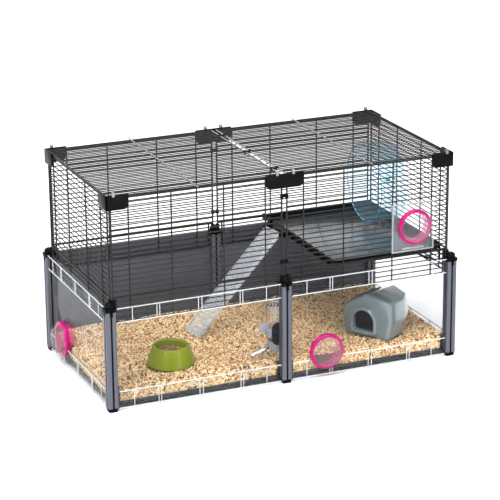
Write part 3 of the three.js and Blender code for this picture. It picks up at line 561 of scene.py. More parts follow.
def make_post(name):
    lo, hi = box(f"post_{name}")
    centre = middle(f"post_{name}")
    at = above(centre)
    half = (hi[0] - lo[0]) / 2
    post = Shape()
    post.prism(post_outline(half), lo[2], hi[2], at)
    post.piece(f"post_{name}_look", "frame", ALUMINIUM, "post_aluminium", f"post_{name}", sharp=30)
    strip = Shape()
    inner = half - 4.5 * MM
    strip_half = SLOT_HALF * 0.98
    for turned in turns(at, 4):
        strip.block((inner, -strip_half, lo[2]), (inner + 1.2 * MM, strip_half, hi[2]), turned)
    strip.piece(f"post_strip_{name}", "frame", BLACK, "black_plastic")


def make_foot(name):
    lo, hi = box(f"foot_{name}")
    centre = middle(f"foot_{name}")
    at = above(centre)
    half = (hi[0] - lo[0]) / 2
    foot = Shape()
    foot.prism(rounded_rectangle(half - 0.8 * MM, half - 0.8 * MM, 2.4 * MM), lo[2], 1.8 * MM, at)
    foot.prism(rounded_rectangle(half, half, 3 * MM), 1.6 * MM, hi[2], at)
    foot.piece(f"foot_{name}_look", "frame", BLACK, "black_plastic", f"foot_{name}", 0.5 * MM)


HOME = (middle("post_front_middle") + middle("post_back_middle")) / 2
HOME.z = 0


def from_home(x, y, z):
    """A point given in millimetres from the middle of the cage floor."""
    return HOME + Vector((x, y, z)) * MM


def prongs(name):
    """Where the end wires of the grilles come down into a post's cap."""
    post = middle(f"post_{name}")
    found = []
    for side in SIDES.values():
        for u in (side.start, side.end):
            spot = side.at(u, side.plane, 0)
            if math.hypot(spot.x - post.x, spot.y - post.y) < PRONG_REACH:
                found.append(spot)
    return found


def make_post_cap(name):
    """A square base, a fluted boss and an upright spring clip round each grille wire."""
    lo, hi = extent(f"post_cap_{name}")
    post = middle(f"post_{name}")
    at = above(post)
    half = max(hi.x - post.x, post.x - lo.x, hi.y - post.y)
    post_top = box(f"post_{name}")[1].z
    shoulder = post_top + CAP_SHOULDER
    cap = Shape()
    cap.prism(rounded_rectangle(half, half, 4 * MM), post_top + 0.3 * MM, shoulder, at)
    boss = []
    for i in range(BOSS_FLUTES * 2):
        radius = (8.6 if i % 2 else 9.6) * MM
        angle = math.pi * i / BOSS_FLUTES
        boss.append((radius * math.cos(angle), radius * math.sin(angle)))
    cap.prism(boss, shoulder - 1 * MM, shoulder + 7.5 * MM, at)
    dome = in_mm([(0, 7), (7.5, 7), (5.5, 10), (0, 10.6)])
    cap.turned([(radius, shoulder + height) for radius, height in dome], at, 24)
    for wire in prongs(name):
        away = math.degrees(math.atan2(wire.y - post.y, wire.x - post.x))
        start, stop = (away + angle for angle in CLIP_ARC)
        ring = arc((0, 0), CLIP_RADIUS, start, stop, 14) + arc((0, 0), CLIP_BORE, stop, start, 14)
        cap.prism(ring, shoulder - 0.5 * MM, hi.z, above(wire))
    lip = 3 * MM
    face = half - 1.2 * MM
    outwards = [(0, -1 if name.startswith("front") else 1)]
    if "middle" not in name:
        outwards.append((-1 if name.endswith("left") else 1, 0))
    for x, y in outwards:
        corner = Vector((x * face - abs(y) * lip, y * face - abs(x) * lip, lo.z))
        other = Vector((x * half + abs(y) * lip, y * half + abs(x) * lip, shoulder - 1 * MM))
        low = [min(a, b) for a, b in zip(corner, other)]
        high = [max(a, b) for a, b in zip(corner, other)]
        cap.block(low, high, at)
    cap.piece(f"post_cap_{name}_look", "frame", BLACK, "black_plastic", f"post_cap_{name}", 0.5 * MM)


for post_name in POST_NAMES:
    make_post(post_name)
    make_post_cap(post_name)
    make_foot(post_name)

# ---- Lower panels and tray ----------------------------------------------------------------

for side_name in SIDES:
    slate = side_name.startswith("back")
    finish, slot_name = (SLATE, "slate_plastic") if slate else (CLEAR, "clear_panel")
    refined(f"panel_{side_name}", "frame", finish, 0.35 * MM)

# The clear panels' moulded edges, each a thin milky block: painted highlight.
LEDGE_HALF = 164.2 * MM
LEDGE_THICK = 2 * MM
LEDGE_INSET = 0.2 * MM
LOWER_BAND = 35 * MM  # height of the ribbed band along a panel's foot
UPPER_BAND = 29 * MM  # height of the band along its top
RIB_PLACES = (-134.3, -86, -80.5, -3.5, 3.5, 80.5, 86, 134.3)
RIB_HALF = 0.6 * MM
PORT_RECESS = 37 * MM  # radius about a port that the ledges and ribs keep out of


def make_panel_edges(name):
    """The moulded edges of a clear panel's ledges and ribs, which catch the light; their milky white is
    painted highlight.
    """
    side = SIDES[name]
    lo, hi = extent(f"panel_{name}")
    face = max(side.v(lo), side.v(hi))
    buried = face - 1 * MM
    at = side.matrix(0, 0, 0)
    trim = Shape()
    for low, high in ((lo.z, lo.z + LOWER_BAND), (hi.z - UPPER_BAND, hi.z)):
        for z in (low, high - LEDGE_THICK):
            near = (-LEDGE_HALF, z + LEDGE_INSET, buried)
            trim.block(near, (LEDGE_HALF, z + LEDGE_THICK - LEDGE_INSET, face + 0.2 * MM), at)
        for u in RIB_PLACES:
            start, stop = u * MM - RIB_HALF, u * MM + RIB_HALF
            trim.block((start, low + 1 * MM, buried), (stop, high - 1 * MM, face + 0.1 * MM), at)
    port = {"front_right": "front", "end_left": "end"}.get(name)
    if port:
        centre = middle(f"port_ring_{port}")
        trim = clear_of_port(trim, side, side.u(centre), centre.z)
    trim.piece(f"panel_edges_{name}", "frame", EDGE_HIGHLIGHT, "clear_panel")


def clear_of_port(trim, side, u, z):
    """Leaves out the strips' parts that would cross a port's recess."""
    at = side.matrix(0, 0, 0)
    kept = Shape()
    for first in range(0, len(trim.points), len(CUBE)):
        corners = [Vector(point) for point in trim.points[first : first + len(CUBE)]]
        us = [side.u(p) for p in corners]
        zs = [p.z for p in corners]
        lo_u, hi_u, lo_z, hi_z = min(us), max(us), min(zs), max(zs)
        level = lo_z < z + PORT_RECESS and hi_z > z - PORT_RECESS
        near = level and lo_u < u + PORT_RECESS and hi_u > u - PORT_RECESS
        if not near:
            spans = [(lo_u, hi_u, lo_z, hi_z)]
        elif hi_u - lo_u > 10 * MM:
            drop = min(abs(lo_z - z), abs(hi_z - z))
            gap = math.sqrt(max(PORT_RECESS**2 - drop**2, 0))
            spans = [(lo_u, u - gap, lo_z, hi_z), (u + gap, hi_u, lo_z, hi_z)]
        else:
            aside = min(abs(lo_u - u), abs(hi_u - u))
            gap = math.sqrt(max(PORT_RECESS**2 - aside**2, 0))
            spans = [(lo_u, hi_u, lo_z, min(hi_z, z - gap))] if z - gap > lo_z + MM else []
        vs = [side.v(p) for p in corners]
        for start, stop, low, high in spans:
            kept.block((start, low, min(vs)), (stop, high, max(vs)), at)
    return kept


for side_name in SIDES:
    if not side_name.startswith("back"):
        make_panel_edges(side_name)

refined("base_tray", "frame", TRAY, 0.6 * MM)

# ---- Bedding ------------------------------------------------------------------------------

BEDDING_LO, BEDDING_HI = extent("bedding")
CELL = 6 * MM
POST_ROOM = 14.5 * MM  # half the notch in the bedding around a post
SLEEVE_ROOM = 30 * MM  # the bedding dips under a port's sleeve
SLEEVE_DEPTH = 12 * MM
TOP_CHIPS = 15000
WALL_CHIPS = 6500
CHIP_REACH = 3.4 * MM
WALL_INSET = 1.3 * MM  # granules against a wall lie with their middle this far inside it
END_SHARE = 0.35  # share of the wall granules that lie against the end of the cage
PRESSED_DEPTH = 2.4 * MM
RESTING = {"bowl": 0.5, "house": 0.36}  # how much of its width each one presses into the granules

POST_SPOTS = [middle(f"post_{name}") for name in POST_NAMES]
LOW_PORTS = [
    (SIDES["front_right"], middle("port_ring_front")),
    (SIDES["end_left"], middle("port_ring_end")),
]


def in_post_notch(x, y, margin=0.0):
    reach = POST_ROOM + margin
    return any(abs(x - post.x) < reach and abs(y - post.y) < reach for post in POST_SPOTS)


def surface_height(x, y):
    """Gently uneven bedding, lower under the sleeves of the two floor-level ports."""
    waves = 1.6 * math.sin(x * 21 + 1) * math.cos(y * 27) + 1.1 * math.sin(x * 47 - y * 33)
    height = BEDDING_HI.z - 2.6 * MM + waves * MM
    point = Vector((x, y, 0))
    for side, centre in LOW_PORTS:
        aside = abs(side.u(point) - side.u(centre))
        if aside < SLEEVE_ROOM and side.v(point) > -SLEEVE_DEPTH:
            height = min(height, centre.z - math.sqrt(SLEEVE_ROOM**2 - aside**2) - 2 * MM)
    return height


def stops(low, high, fixed):
    """Grid lines between two limits, about a cell apart, that pass through the fixed ones."""
    marks = sorted([low, high] + [f for f in fixed if low < f < high])
    lines = []
    for a, b in zip(marks, marks[1:]):
        count = max(1, round((b - a) / CELL))
        lines += [a + (b - a) * i / count for i in range(count)]
    return lines + [high]


def bedding_bed():
    """The closed body of the bedding, stepped around the posts."""
    edges_x = [post.x + sign * POST_ROOM for post in POST_SPOTS for sign in (-1, 1)]
    edges_y = [post.y + sign * POST_ROOM for post in POST_SPOTS for sign in (-1, 1)]
    shy = 2 * MM  # the outermost granules stand in front of the body
    xs = stops(BEDDING_LO.x + shy, BEDDING_HI.x - shy, sorted(set(round(v, 5) for v in edges_x)))
    ys = stops(BEDDING_LO.y + shy, BEDDING_HI.y - shy, sorted(set(round(v, 5) for v in edges_y)))
    cells = set()
    for i in range(len(xs) - 1):
        for j in range(len(ys) - 1):
            if not in_post_notch((xs[i] + xs[i + 1]) / 2, (ys[j] + ys[j + 1]) / 2):
                cells.add((i, j))
    bed = Shape()
    numbers = {}

    def vertex(i, j, top):
        if (i, j, top) not in numbers:
            numbers[(i, j, top)] = len(bed.points)
            height = surface_height(xs[i], ys[j]) if top else BEDDING_LO.z
            bed.points.append((xs[i], ys[j], height))
        return numbers[(i, j, top)]

    for i, j in sorted(cells):
        corners = [(i, j), (i + 1, j), (i + 1, j + 1), (i, j + 1)]
        bed.faces.append(tuple(vertex(a, b, True) for a, b in corners))
        bed.faces.append(tuple(vertex(a, b, False) for a, b in reversed(corners)))
        beyond = [(i, j - 1), (i + 1, j), (i, j + 1), (i - 1, j)]
        for k, other in enumerate(beyond):
            if other not in cells:
                a, b = corners[k], corners[(k + 1) % 4]
                wall = [(*b, True), (*a, True), (*a, False), (*b, False)]
                bed.faces.append(tuple(vertex(*corner) for corner in wall))
    # Its darker brown is painted shade, seen in the gaps between the granules.
    bed.piece("bedding_bed", "frame", WOOD_GAP_SHADE, "wood_bedding", "bedding", sharp=60)


def chip(bed, dice, centre, upright=None):
    """One granule: a small skewed block lying at any angle, or flat against a wall."""
    length = dice.uniform(4.0, 6.8) * MM
    width = dice.uniform(1.7, 2.9) * MM
    thick = dice.uniform(1.3, 2.2) * MM
    if upright is None:
        turn = Matrix.Rotation(dice.uniform(0, math.tau), 3, "Z")
        turn = turn @ Matrix.Rotation(dice.gauss(0, 0.55), 3, "Y")
        turn = turn @ Matrix.Rotation(dice.gauss(0, 0.6), 3, "X")
    else:
        facing = upright.to_track_quat("Z", "Y").to_matrix()
        turn = facing @ Matrix.Rotation(dice.uniform(0, math.tau), 3, "Z")
    base = len(bed.points)
    for sx, sy, sz in CUBE:
        shape = Vector((sx * length, sy * width, sz * thick)) / 2
        shape.x *= dice.uniform(0.72, 1.1)
        shape.y *= dice.uniform(0.62, 1.1)
        bed.points.append(tuple(centre + turn @ shape))
    bed.faces += [tuple(base + k for k in face) for face in CUBE_FACES]


def resting_on_bedding(x, y):
    """Under the bowl and the house the granules lie lower."""
    for name, share in RESTING.items():
        centre = middle(name)
        reach = share * (box(name)[1][0] - box(name)[0][0])
        if math.hypot(x - centre.x, y - centre.y) < reach:
            return True
    return False


def scatter(name, x0, x1, seed):
    """Granules over the top of one half of the bedding, then against its walls."""
    dice = random.Random(seed)
    y0, y1 = BEDDING_LO.y + CHIP_REACH, BEDDING_HI.y - CHIP_REACH
    top = Shape()
    made = 0
    while made < TOP_CHIPS:
        x, y = dice.uniform(x0, x1), dice.uniform(y0, y1)
        if in_post_notch(x, y, CHIP_REACH):
            continue
        sink = PRESSED_DEPTH if resting_on_bedding(x, y) else 0
        height = surface_height(x, y) + dice.uniform(-0.4, 1.8) * MM - sink
        chip(top, dice, Vector((x, y, height)))
        made += 1
    top.piece(name, "frame", WOOD, "wood_bedding", sharp=20)
    sides = Shape()
    walls = [(Vector((0, -1, 0)), BEDDING_LO.y + WALL_INSET), (Vector((0, 1, 0)), BEDDING_HI.y - WALL_INSET)]
    at_left = x0 < HOME.x
    end_face = Vector((-1 if at_left else 1, 0, 0))
    end_x = (BEDDING_LO.x if at_left else BEDDING_HI.x) - end_face.x * WALL_INSET
    low = BEDDING_LO.z + 3 * MM
    made = 0
    while made < WALL_CHIPS:
        on_end = dice.random() < END_SHARE
        z_share = dice.random()
        if on_end:
            face, x = end_face, end_x
            y = dice.uniform(y0, y1)
        else:
            face, y = dice.choice(walls)
            x = dice.uniform(x0, x1)
        if in_post_notch(x, y, CHIP_REACH):
            continue
        chip(sides, dice, Vector((x, y, low + z_share * (surface_height(x, y) - low))), face)
        made += 1
    sides.piece(f"{name}_walls", "frame", WOOD, "wood_bedding", sharp=20)


bedding_bed()
scatter("bedding_chips_left", BEDDING_LO.x + CHIP_REACH, HOME.x, 11)
scatter("bedding_chips_right", HOME.x, BEDDING_HI.x - CHIP_REACH, 23)

# ---- Wire grilles -------------------------------------------------------------------------

UPRIGHT_SHARES = (0.1, 0.347, 0.653, 0.9)
WIRE_PITCH = 9.9 * MM
PORT_PLATE_OVERLAP = 4 * MM
TAIL_HALF = 162.2 * MM  # half the width of a grille's lower part, between the posts


def bent(points, radius, steps=5):
    """A path with its corners rounded, as a bent wire has."""
    path = [points[0]]
    for before, corner, after in zip(points, points[1:], points[2:]):
        into = (corner - before).normalized()
        out = (after - corner).normalized()
        start, stop = corner - into * radius, corner + out * radius
        for i in range(steps + 1):
            t = i / steps
            path.append((1 - t) ** 2 * start + 2 * t * (1 - t) * corner + t * t * stop)
    return path + [points[-1]]


def make_grille(name):
    side = SIDES[name]
    lo, hi = extent(f"grille_{name}")
    start, end = side.start, side.end
    bottom, top = lo.z + LATTICE_HALF, hi.z - LATTICE_HALF
    shoulder = extent("post_cap_front_left")[1].z + 0.7 * MM + LATTICE_HALF
    prong = extent("post_front_left")[1].z + CAP_SHOULDER
    narrow = min(side.panel_half - 9 * MM, TAIL_HALF)
    frame_v = side.plane
    upright_v = side.plane + 0.9 * MM
    fill_v = upright_v - UPRIGHT_WIRE - FILL_WIRE

    def line(points, v):
        return [side.at(u, v, z) for u, z in points]

    grille = Shape()
    outer = bent(line([(start, prong), (start, top), (end, top), (end, prong)], frame_v), 6 * MM)
    grille.wire(outer, FRAME_WIRE, 10)
    tail = [(-narrow, shoulder), (-narrow, bottom), (narrow, bottom), (narrow, shoulder)]
    grille.wire(bent(line(tail, frame_v), 5 * MM), FRAME_WIRE, 10)
    grille.wire(line([(start, shoulder), (end, shoulder)], frame_v), FRAME_WIRE, 10)
    uprights = [start + share * (end - start) for share in UPRIGHT_SHARES]
    hole = None
    if name == "front_right":
        plate_lo, plate_hi = extent("port_plate")
        heights = (plate_lo.z + PORT_PLATE_OVERLAP, plate_hi.z - PORT_PLATE_OVERLAP)
        hole = (uprights[2], uprights[3], *heights)
    for u in uprights:
        grille.wire(line([(u, bottom), (u, top)], upright_v), UPRIGHT_WIRE)
    rows = round((top - bottom) / WIRE_PITCH)
    for row in range(1, rows):
        z = bottom + (top - bottom) * row / rows
        first, last = (start, end) if z > shoulder else (-narrow, narrow)
        spans = [(first, last)]
        if hole and hole[2] < z < hole[3]:
            spans = [(first, hole[0]), (hole[1], last)]
        for u0, u1 in spans:
            grille.wire(line([(u0, z), (u1, z)], fill_v), FILL_WIRE, 6)
    if hole:
        for z in hole[2:]:
            grille.wire(line([(hole[0], z), (hole[1], z)], frame_v), UPRIGHT_WIRE)
    grille.piece(f"grille_{name}_look", "frame", WIRE, "black_wire", f"grille_{name}", sharp=60)


for side_name in SIDES:
    make_grille(side_name)

# ---- Roof halves and clips ----------------------------------------------------------------

CROSSBAR_WIRE = 1.45 * MM
LONG_WIRE = 1.62 * MM
ROOF_CORNER = 10.4 * MM  # how far the roof's frame stops short of its crossbar's ends
HINGE_OFFSET = 5 * MM  # from the cage's middle to each roof half's hinge wire


def make_roof(name):
    """One roof half: a bent frame, close wires along X, a crossbar and two long wires; the crossbar and long
    wires get a painted highlight.
    """
    lo, hi = extent(name)
    sign = 1 if name.endswith("right") else -1
    inner = (lo.x if sign > 0 else hi.x) + sign * LATTICE_HALF
    outer = (hi.x if sign > 0 else lo.x) - sign * LATTICE_HALF
    z = (lo.z + hi.z) / 2
    crossbar_z = z + 0.9 * MM
    fill_z = z + 0.2 * MM
    reach = hi.y - HOME.y
    side = reach - ROOF_CORNER
    edges = Shape()
    corners = [(inner, side), (outer, side), (outer, -side), (inner, -side)]
    edges.wire(bent([Vector((x, HOME.y + y, z)) for x, y in corners], 5 * MM), FRAME_WIRE, 10)
    rows = round(2 * side / WIRE_PITCH)
    for row in range(1, rows):
        y = HOME.y - side + 2 * side * row / rows
        edges.wire([Vector((inner, y, fill_z)), Vector((outer, y, fill_z))], FILL_WIRE, 6)
    edges.piece(f"{name}_look", name, WIRE, "black_wire", name, sharp=60)
    # The crossbar and the long wires are black like the rest; their lighter grey is painted highlight.
    bright = Shape()
    middle_x = (inner + outer) / 2
    bar = [(-reach, 3.2 * MM), (-reach + 1.2 * MM, 0.6 * MM), (-reach + 4 * MM, 0)]
    bar += [(-y, lift) for y, lift in reversed(bar)]
    bright.wire([Vector((middle_x, HOME.y + y, crossbar_z + lift)) for y, lift in bar], CROSSBAR_WIRE)
    for x in (inner, outer):
        trim = 0 if x == inner else 6 * MM
        ends = [Vector((x, HOME.y + end * (side - trim), z)) for end in (-1, 1)]
        bright.wire(ends, LONG_WIRE, 12)
    bright.piece(f"{name}_long_wires", name, PAINTED_HIGHLIGHT_WIRE, "black_wire", sharp=60)


for roof_name in ("roof_left", "roof_right"):
    make_roof(roof_name)


def make_roof_clip(name):
    """Two eyes, one round each hinge wire, joined by a short web."""
    lo, hi = extent(f"roof_clip_{name}")
    centre = (lo + hi) / 2
    half = (hi.y - lo.y) / 2
    bore, flat, outside = 2.0 * MM, 3.4 * MM, 3.9 * MM
    shy = half - 0.6 * MM
    eye = [(bore, -half), (flat, -half), (outside, -shy), (outside, shy), (flat, half), (bore, half)]
    clip = Shape()
    for x in (-HINGE_OFFSET, HINGE_OFFSET):
        lying = Matrix.Translation(centre + Vector((x, 0, 0))) @ Matrix.Rotation(math.pi / 2, 4, "X")
        clip.turned(eye, lying, 24)
    clip.block((-2.6 * MM, -half, -1.6 * MM), (2.6 * MM, half, 1.6 * MM), Matrix.Translation(centre))
    clip.piece(f"roof_clip_{name}_look", "frame", BLACK, "black_plastic", f"roof_clip_{name}")


for clip_name in ("front", "middle", "back"):
    make_roof_clip(clip_name)

# ---- Top connectors -----------------------------------------------------------------------

SKIRT = 3.3 * MM
CHAMFER = 7 * MM
HOOK_HALF = 2.5 * MM
HOOK_RISE = 8.5 * MM
MIDDLE_HOOK, CORNER_HOOK = 16.5 * MM, 14.5 * MM  # hooks from the middle, and from the corner


def skirt(shape, at, u0, u1, low, high, cut_first, cut_last):
    """An upright plate with its free lower corners cut off; at maps (u, z) to the plate's face."""
    outline = [(u1 - CHAMFER, low), (u1, low + CHAMFER)] if cut_last else [(u1, low)]
    outline += [(u1, high), (u0, high)]
    outline += [(u0, low + CHAMFER), (u0 + CHAMFER, low)] if cut_first else [(u0, low)]
    shape.prism(outline, 0, SKIRT, at)


def hook(shape, at, u, base):
    """A narrow strip that rises from a skirt and curls over at its tip."""
    radius = 2.9 * MM
    strip = 1.2 * MM
    curl = (SKIRT * 0.5, base + 1.2 * MM + radius)
    path = [(SKIRT * 0.5 + radius, base - 1 * MM)]
    path += arc(curl, radius, 0, 290, 14)
    rings = []
    for i, (v, z) in enumerate(path):
        before, after = path[max(i - 1, 0)], path[min(i + 1, len(path) - 1)]
        along = Vector((after[0] - before[0], after[1] - before[1])).normalized()
        side = Vector((along.y, -along.x)) * strip / 2
        ring = []
        for across, through in ((-1, -1), (1, -1), (1, 1), (-1, 1)):
            spot = Vector((u + across * HOOK_HALF, z + through * side.y, v + through * side.x))
            ring.append(at @ spot)
        rings.append(ring)
    shape.rings(rings)


def make_connector(name):
    lo, hi = extent(f"connector_{name}")
    row, column = name.split("_")
    out = -1 if row == "front" else 1
    low, high = lo.z, hi.z - HOOK_RISE
    wall = Shape()
    hooks = Shape()
    face_y = lo.y + SKIRT if out < 0 else hi.y - SKIRT
    at = upright_frame((1, 0, 0), (0, out, 0), Vector((0, face_y, 0)))
    cut_first, cut_last = column != "left", column != "right"
    skirt(wall, at, lo.x, hi.x, low, high, cut_first, cut_last)
    if column == "middle":
        places = [HOME.x - MIDDLE_HOOK, HOME.x + MIDDLE_HOOK]
    else:
        sign = -1 if column == "left" else 1
        face_x = lo.x + SKIRT if sign < 0 else hi.x - SKIRT
        end = upright_frame((0, 1, 0), (sign, 0, 0), Vector((face_x, 0, 0)))
        skirt(wall, end, lo.y, hi.y, low, high, row == "back", row == "front")
        places = [(lo.x if sign < 0 else hi.x) - sign * CORNER_HOOK]
    for u in places:
        hook(hooks, at, u, high - 1 * MM)
    wall.piece(f"connector_{name}_look", "frame", BLACK, "black_plastic", f"connector_{name}", 0.7 * MM)
    # The hooks are black plastic; their lighter grey is painted highlight.
    hooks.piece(f"connector_hook_{name}", "frame", PAINTED_HIGHLIGHT_WIRE, "black_plastic", sharp=50)


for post_name in POST_NAMES:
    make_connector(post_name)


GRILLE_Y = (middle("grille_back_left").y - HOME.y) / MM
CLIP_LEVELS = {"upper": 372, "lower": 243}
CLIP_EYES = (-5, 5)


def make_wire_clip(name, y, z):
    """A small clip that holds the end wires of two neighbouring grilles together."""
    clip = Shape()
    for x in CLIP_EYES:
        at = Matrix.Translation(from_home(x, y, z))
        clip.turned(in_mm([(1.9, -4), (3.3, -4), (3.3, 4), (1.9, 4)]), at, 20)
    half = Vector((2.4, 1.3, 2.6)) * MM
    clip.block(-half, half, Matrix.Translation(from_home(0, y, z)))
    clip.piece(name, "frame", BLACK, "black_plastic")


for row_name, row_sign in (("front", -1), ("back", 1)):
    for level, height in CLIP_LEVELS.items():
        make_wire_clip(f"wire_clip_{row_name}_{level}", row_sign * GRILLE_Y, height)

# ---- Platform and ramp --------------------------------------------------------------------

PLATFORM_LEFT = HOME.x + 103 * MM
PLATFORM_RIGHT = HOME.x + 345 * MM
PLATFORM_HALF_DEPTH = 167 * MM
PLATFORM_FLOOR = 213.8 * MM
RIM_INSET = 15.5 * MM  # from the rim's edge to the flat floor
TEETH = 12
TOOTH_PITCH, TOOTH_WIDTH = 27.5 * MM, 16 * MM
RAMP_WIDTH = 54 * MM
RAMP_RUN = 192 * MM
RAMP_DROP = 180 * MM
RAMP_RAIL = 2.4 * MM
RAMP_RIBS = 27
RAMP_RIB_HALF = 0.9 * MM


def make_platform_floor():
    """The platform's glossy grey floor, inside its black rim."""
    half_depth = PLATFORM_HALF_DEPTH - RIM_INSET
    near = (PLATFORM_LEFT + RIM_INSET, HOME.y - half_depth, PLATFORM_FLOOR)
    far = (PLATFORM_RIGHT - RIM_INSET, HOME.y + half_depth, PLATFORM_FLOOR + 0.6 * MM)
    floor = Shape()
    floor.block(near, far)
    floor.piece("platform_floor", "frame", PLATFORM, "dark_tray", bevel=0.2 * MM)


def make_platform_teeth():
    """Dark catches along the platform's open edge."""
    first = HOME.y - 152 * MM
    teeth = Shape()
    for i in range(TEETH):
        y = first + i * TOOTH_PITCH
        near = (PLATFORM_LEFT - 1.6 * MM, y, 215 * MM)
        teeth.block(near, (PLATFORM_LEFT + 4.5 * MM, y + TOOTH_WIDTH, 227.8 * MM))
    teeth.piece("platform_teeth", "frame", BLACK, "black_plastic", bevel=0.4 * MM)


def make_ramp():
    hinge = joint("ramp_hinge")
    pivot = Vector(hinge["pos_m"])
    axis = Vector(hinge["axis"])
    yaw = math.atan2(-axis.x, axis.y)
    slope = math.atan2(RAMP_DROP, RAMP_RUN)
    length = math.hypot(RAMP_RUN, RAMP_DROP)
    at = Matrix.Translation(pivot) @ Matrix.Rotation(yaw, 4, "Z") @ Matrix.Rotation(-slope, 4, "Y")
    half = RAMP_WIDTH / 2
    ramp = Shape()
    ramp.block((-length, -half, -1.5 * MM), (-2 * MM, half, 0.9 * MM), at)
    for y in (-half, half - RAMP_RAIL):
        ramp.block((-length + 2 * MM, y, -1.4 * MM), (-3 * MM, y + RAMP_RAIL, 5 * MM), at)
    barrel = at @ Matrix.Rotation(math.pi / 2, 4, "X")
    bore, outside = 2.0 * MM, 3.6 * MM
    ramp.turned([(bore, -half), (outside, -half), (outside, half), (bore, half)], barrel, 24)
    rib_reach = half - 2 * MM
    for i in range(1, RAMP_RIBS):
        x = -i * length / RAMP_RIBS
        near = (x - RAMP_RIB_HALF, -rib_reach, 0.6 * MM)
        ramp.block(near, (x + RAMP_RIB_HALF, rib_reach, 2.8 * MM), at)
    ramp.piece("ramp_look", "ramp", RAMP_CLEAR, "ramp_plastic", "ramp", 0.3 * MM, 1)


refined("platform", "frame", BLACK, 0.7 * MM)
make_platform_floor()
make_platform_teeth()
make_ramp()

# ---- Exercise wheel -----------------------------------------------------------------------

BEAD_SIDES = 10


def make_wheel():
    lo, hi = extent("wheel")
    axle = Vector(joint("wheel_spin")["pos_m"])
    radius = (hi.z - lo.z) / 2
    width = hi.x - lo.x
    at = Matrix.Translation((lo.x, axle.y, axle.z)) @ Matrix.Rotation(math.pi / 2, 4, "Y")
    wall = 1.8 * MM
    hub, bore = 9 * MM, 3.3 * MM
    chamfer, inner_chamfer = 3 * MM, 4 * MM
    hub_end = width - 10 * MM
    drum = Shape()
    drum.turned([
        (bore, width), (radius - chamfer, width), (radius, width - chamfer), (radius, 0), (radius - wall, 0),
        (radius - wall, width - inner_chamfer), (radius - inner_chamfer, width - wall), (hub, width - wall),
        (hub, hub_end), (bore, hub_end),
    ], at, 96)
    drum.piece("wheel_drum", "wheel", WHEEL_CLEAR, "wheel_plastic", "wheel")
    rim = Shape()
    for height, bead in ((1.4 * MM, 1.5 * MM), (width - 3.5 * MM, 0.5 * MM)):
        section = []
        for a in (math.tau * k / BEAD_SIDES for k in range(BEAD_SIDES)):
            across = radius - 2.1 * MM + bead * 0.9 * math.cos(a)
            section.append((across, max(height + bead * 0.7 * math.sin(a), 0)))
        rim.turned(section, at, 96)
    rim.piece("wheel_rim", "wheel", WHEEL_RIM, "wheel_plastic")


make_wheel()
refined("wheel_stand", "frame", CLEAR, 0.5 * MM)

# ---- Access ports -------------------------------------------------------------------------

RING_RADIUS, RING_INSIDE = 35 * MM, 28.7 * MM
RING_LUGS = 3
CAP_GRIPS = 12
PORT_SIDES = {"front": "front_right", "end": "end_left", "grille": "front_right"}


def along_port(name):
    """A frame at the middle of a port, on its side's sheet, with Z outwards."""
    side = SIDES[PORT_SIDES[name]]
    centre = middle(f"port_ring_{name}")
    return side.matrix(side.u(centre), 0, centre.z)


def rounded_section(r0, r1, h0, h1, radius):
    """A turned section with rounded corners, from (r0, h0) to (r1, h1)."""
    half_r, half_h = (r1 - r0) / 2, (h1 - h0) / 2
    centre = ((r0 + r1) / 2, (h0 + h1) / 2)
    outline = rounded_rectangle(half_r, half_h, radius)
    return [(centre[0] + x, centre[1] + y) for x, y in outline]


def make_port_ring(name):
    """A rounded pink ring with three lugs, and the clear pink sleeve inside it."""
    at = along_port(name)
    ring = Shape()
    section = rounded_section(RING_INSIDE, RING_RADIUS, 1.6 * MM, 10.4 * MM, 2.4 * MM)
    ring.turned(section, at, 96)
    near = (RING_RADIUS - 2 * MM, -6 * MM, 2.4 * MM)
    far = (RING_RADIUS - 0.2 * MM, 6 * MM, 6 * MM)
    for turned in turns(at, RING_LUGS, 0.5):
        ring.block(near, far, turned)
    ring.piece(f"port_ring_{name}_look", "frame", PINK, "pink_plastic", f"port_ring_{name}")
    sleeve = Shape()
    sleeve.turned(in_mm([(26.2, 1.4), (28.4, 1.4), (28.4, -9), (26.2, -9)]), at, 96)
    sleeve.piece(f"port_sleeve_{name}", "frame", SLEEVE_CLEAR, "clear_cap")


def make_port_cap(name):
    """A clear cup that closes a port, with a flange and grips round it."""
    at = along_port(name)
    cap = Shape()
    cap.turned(in_mm([
        (0, 26.4), (10, 26.1), (17, 25.2), (22, 23.6), (24.6, 21.2), (25.6, 18.5), (25.6, 13.2), (29.4, 13.2),
        (30, 12.6), (30, 11.4), (29.4, 10.8), (25.6, 10.8), (25.6, 1), (24.1, 1), (24.1, 18.2), (22.8, 20.6),
        (20.6, 22.2), (16.4, 23.6), (10, 24.4), (0, 24.7),
    ]), at, 96)
    for turned in turns(at, CAP_GRIPS):
        cap.block((25 * MM, -1.2 * MM, 13 * MM), (27.4 * MM, 1.2 * MM, 19 * MM), turned)
    cap.piece(f"port_cap_{name}_look", f"cap_{name}", CAP_CLEAR, "clear_cap", f"port_cap_{name}", sharp=30)


for port_name in PORT_NAMES:
    make_port_ring(port_name)
    make_port_cap(port_name)

refined("port_plate", "frame", PLATE_CLEAR, 0.4 * MM)


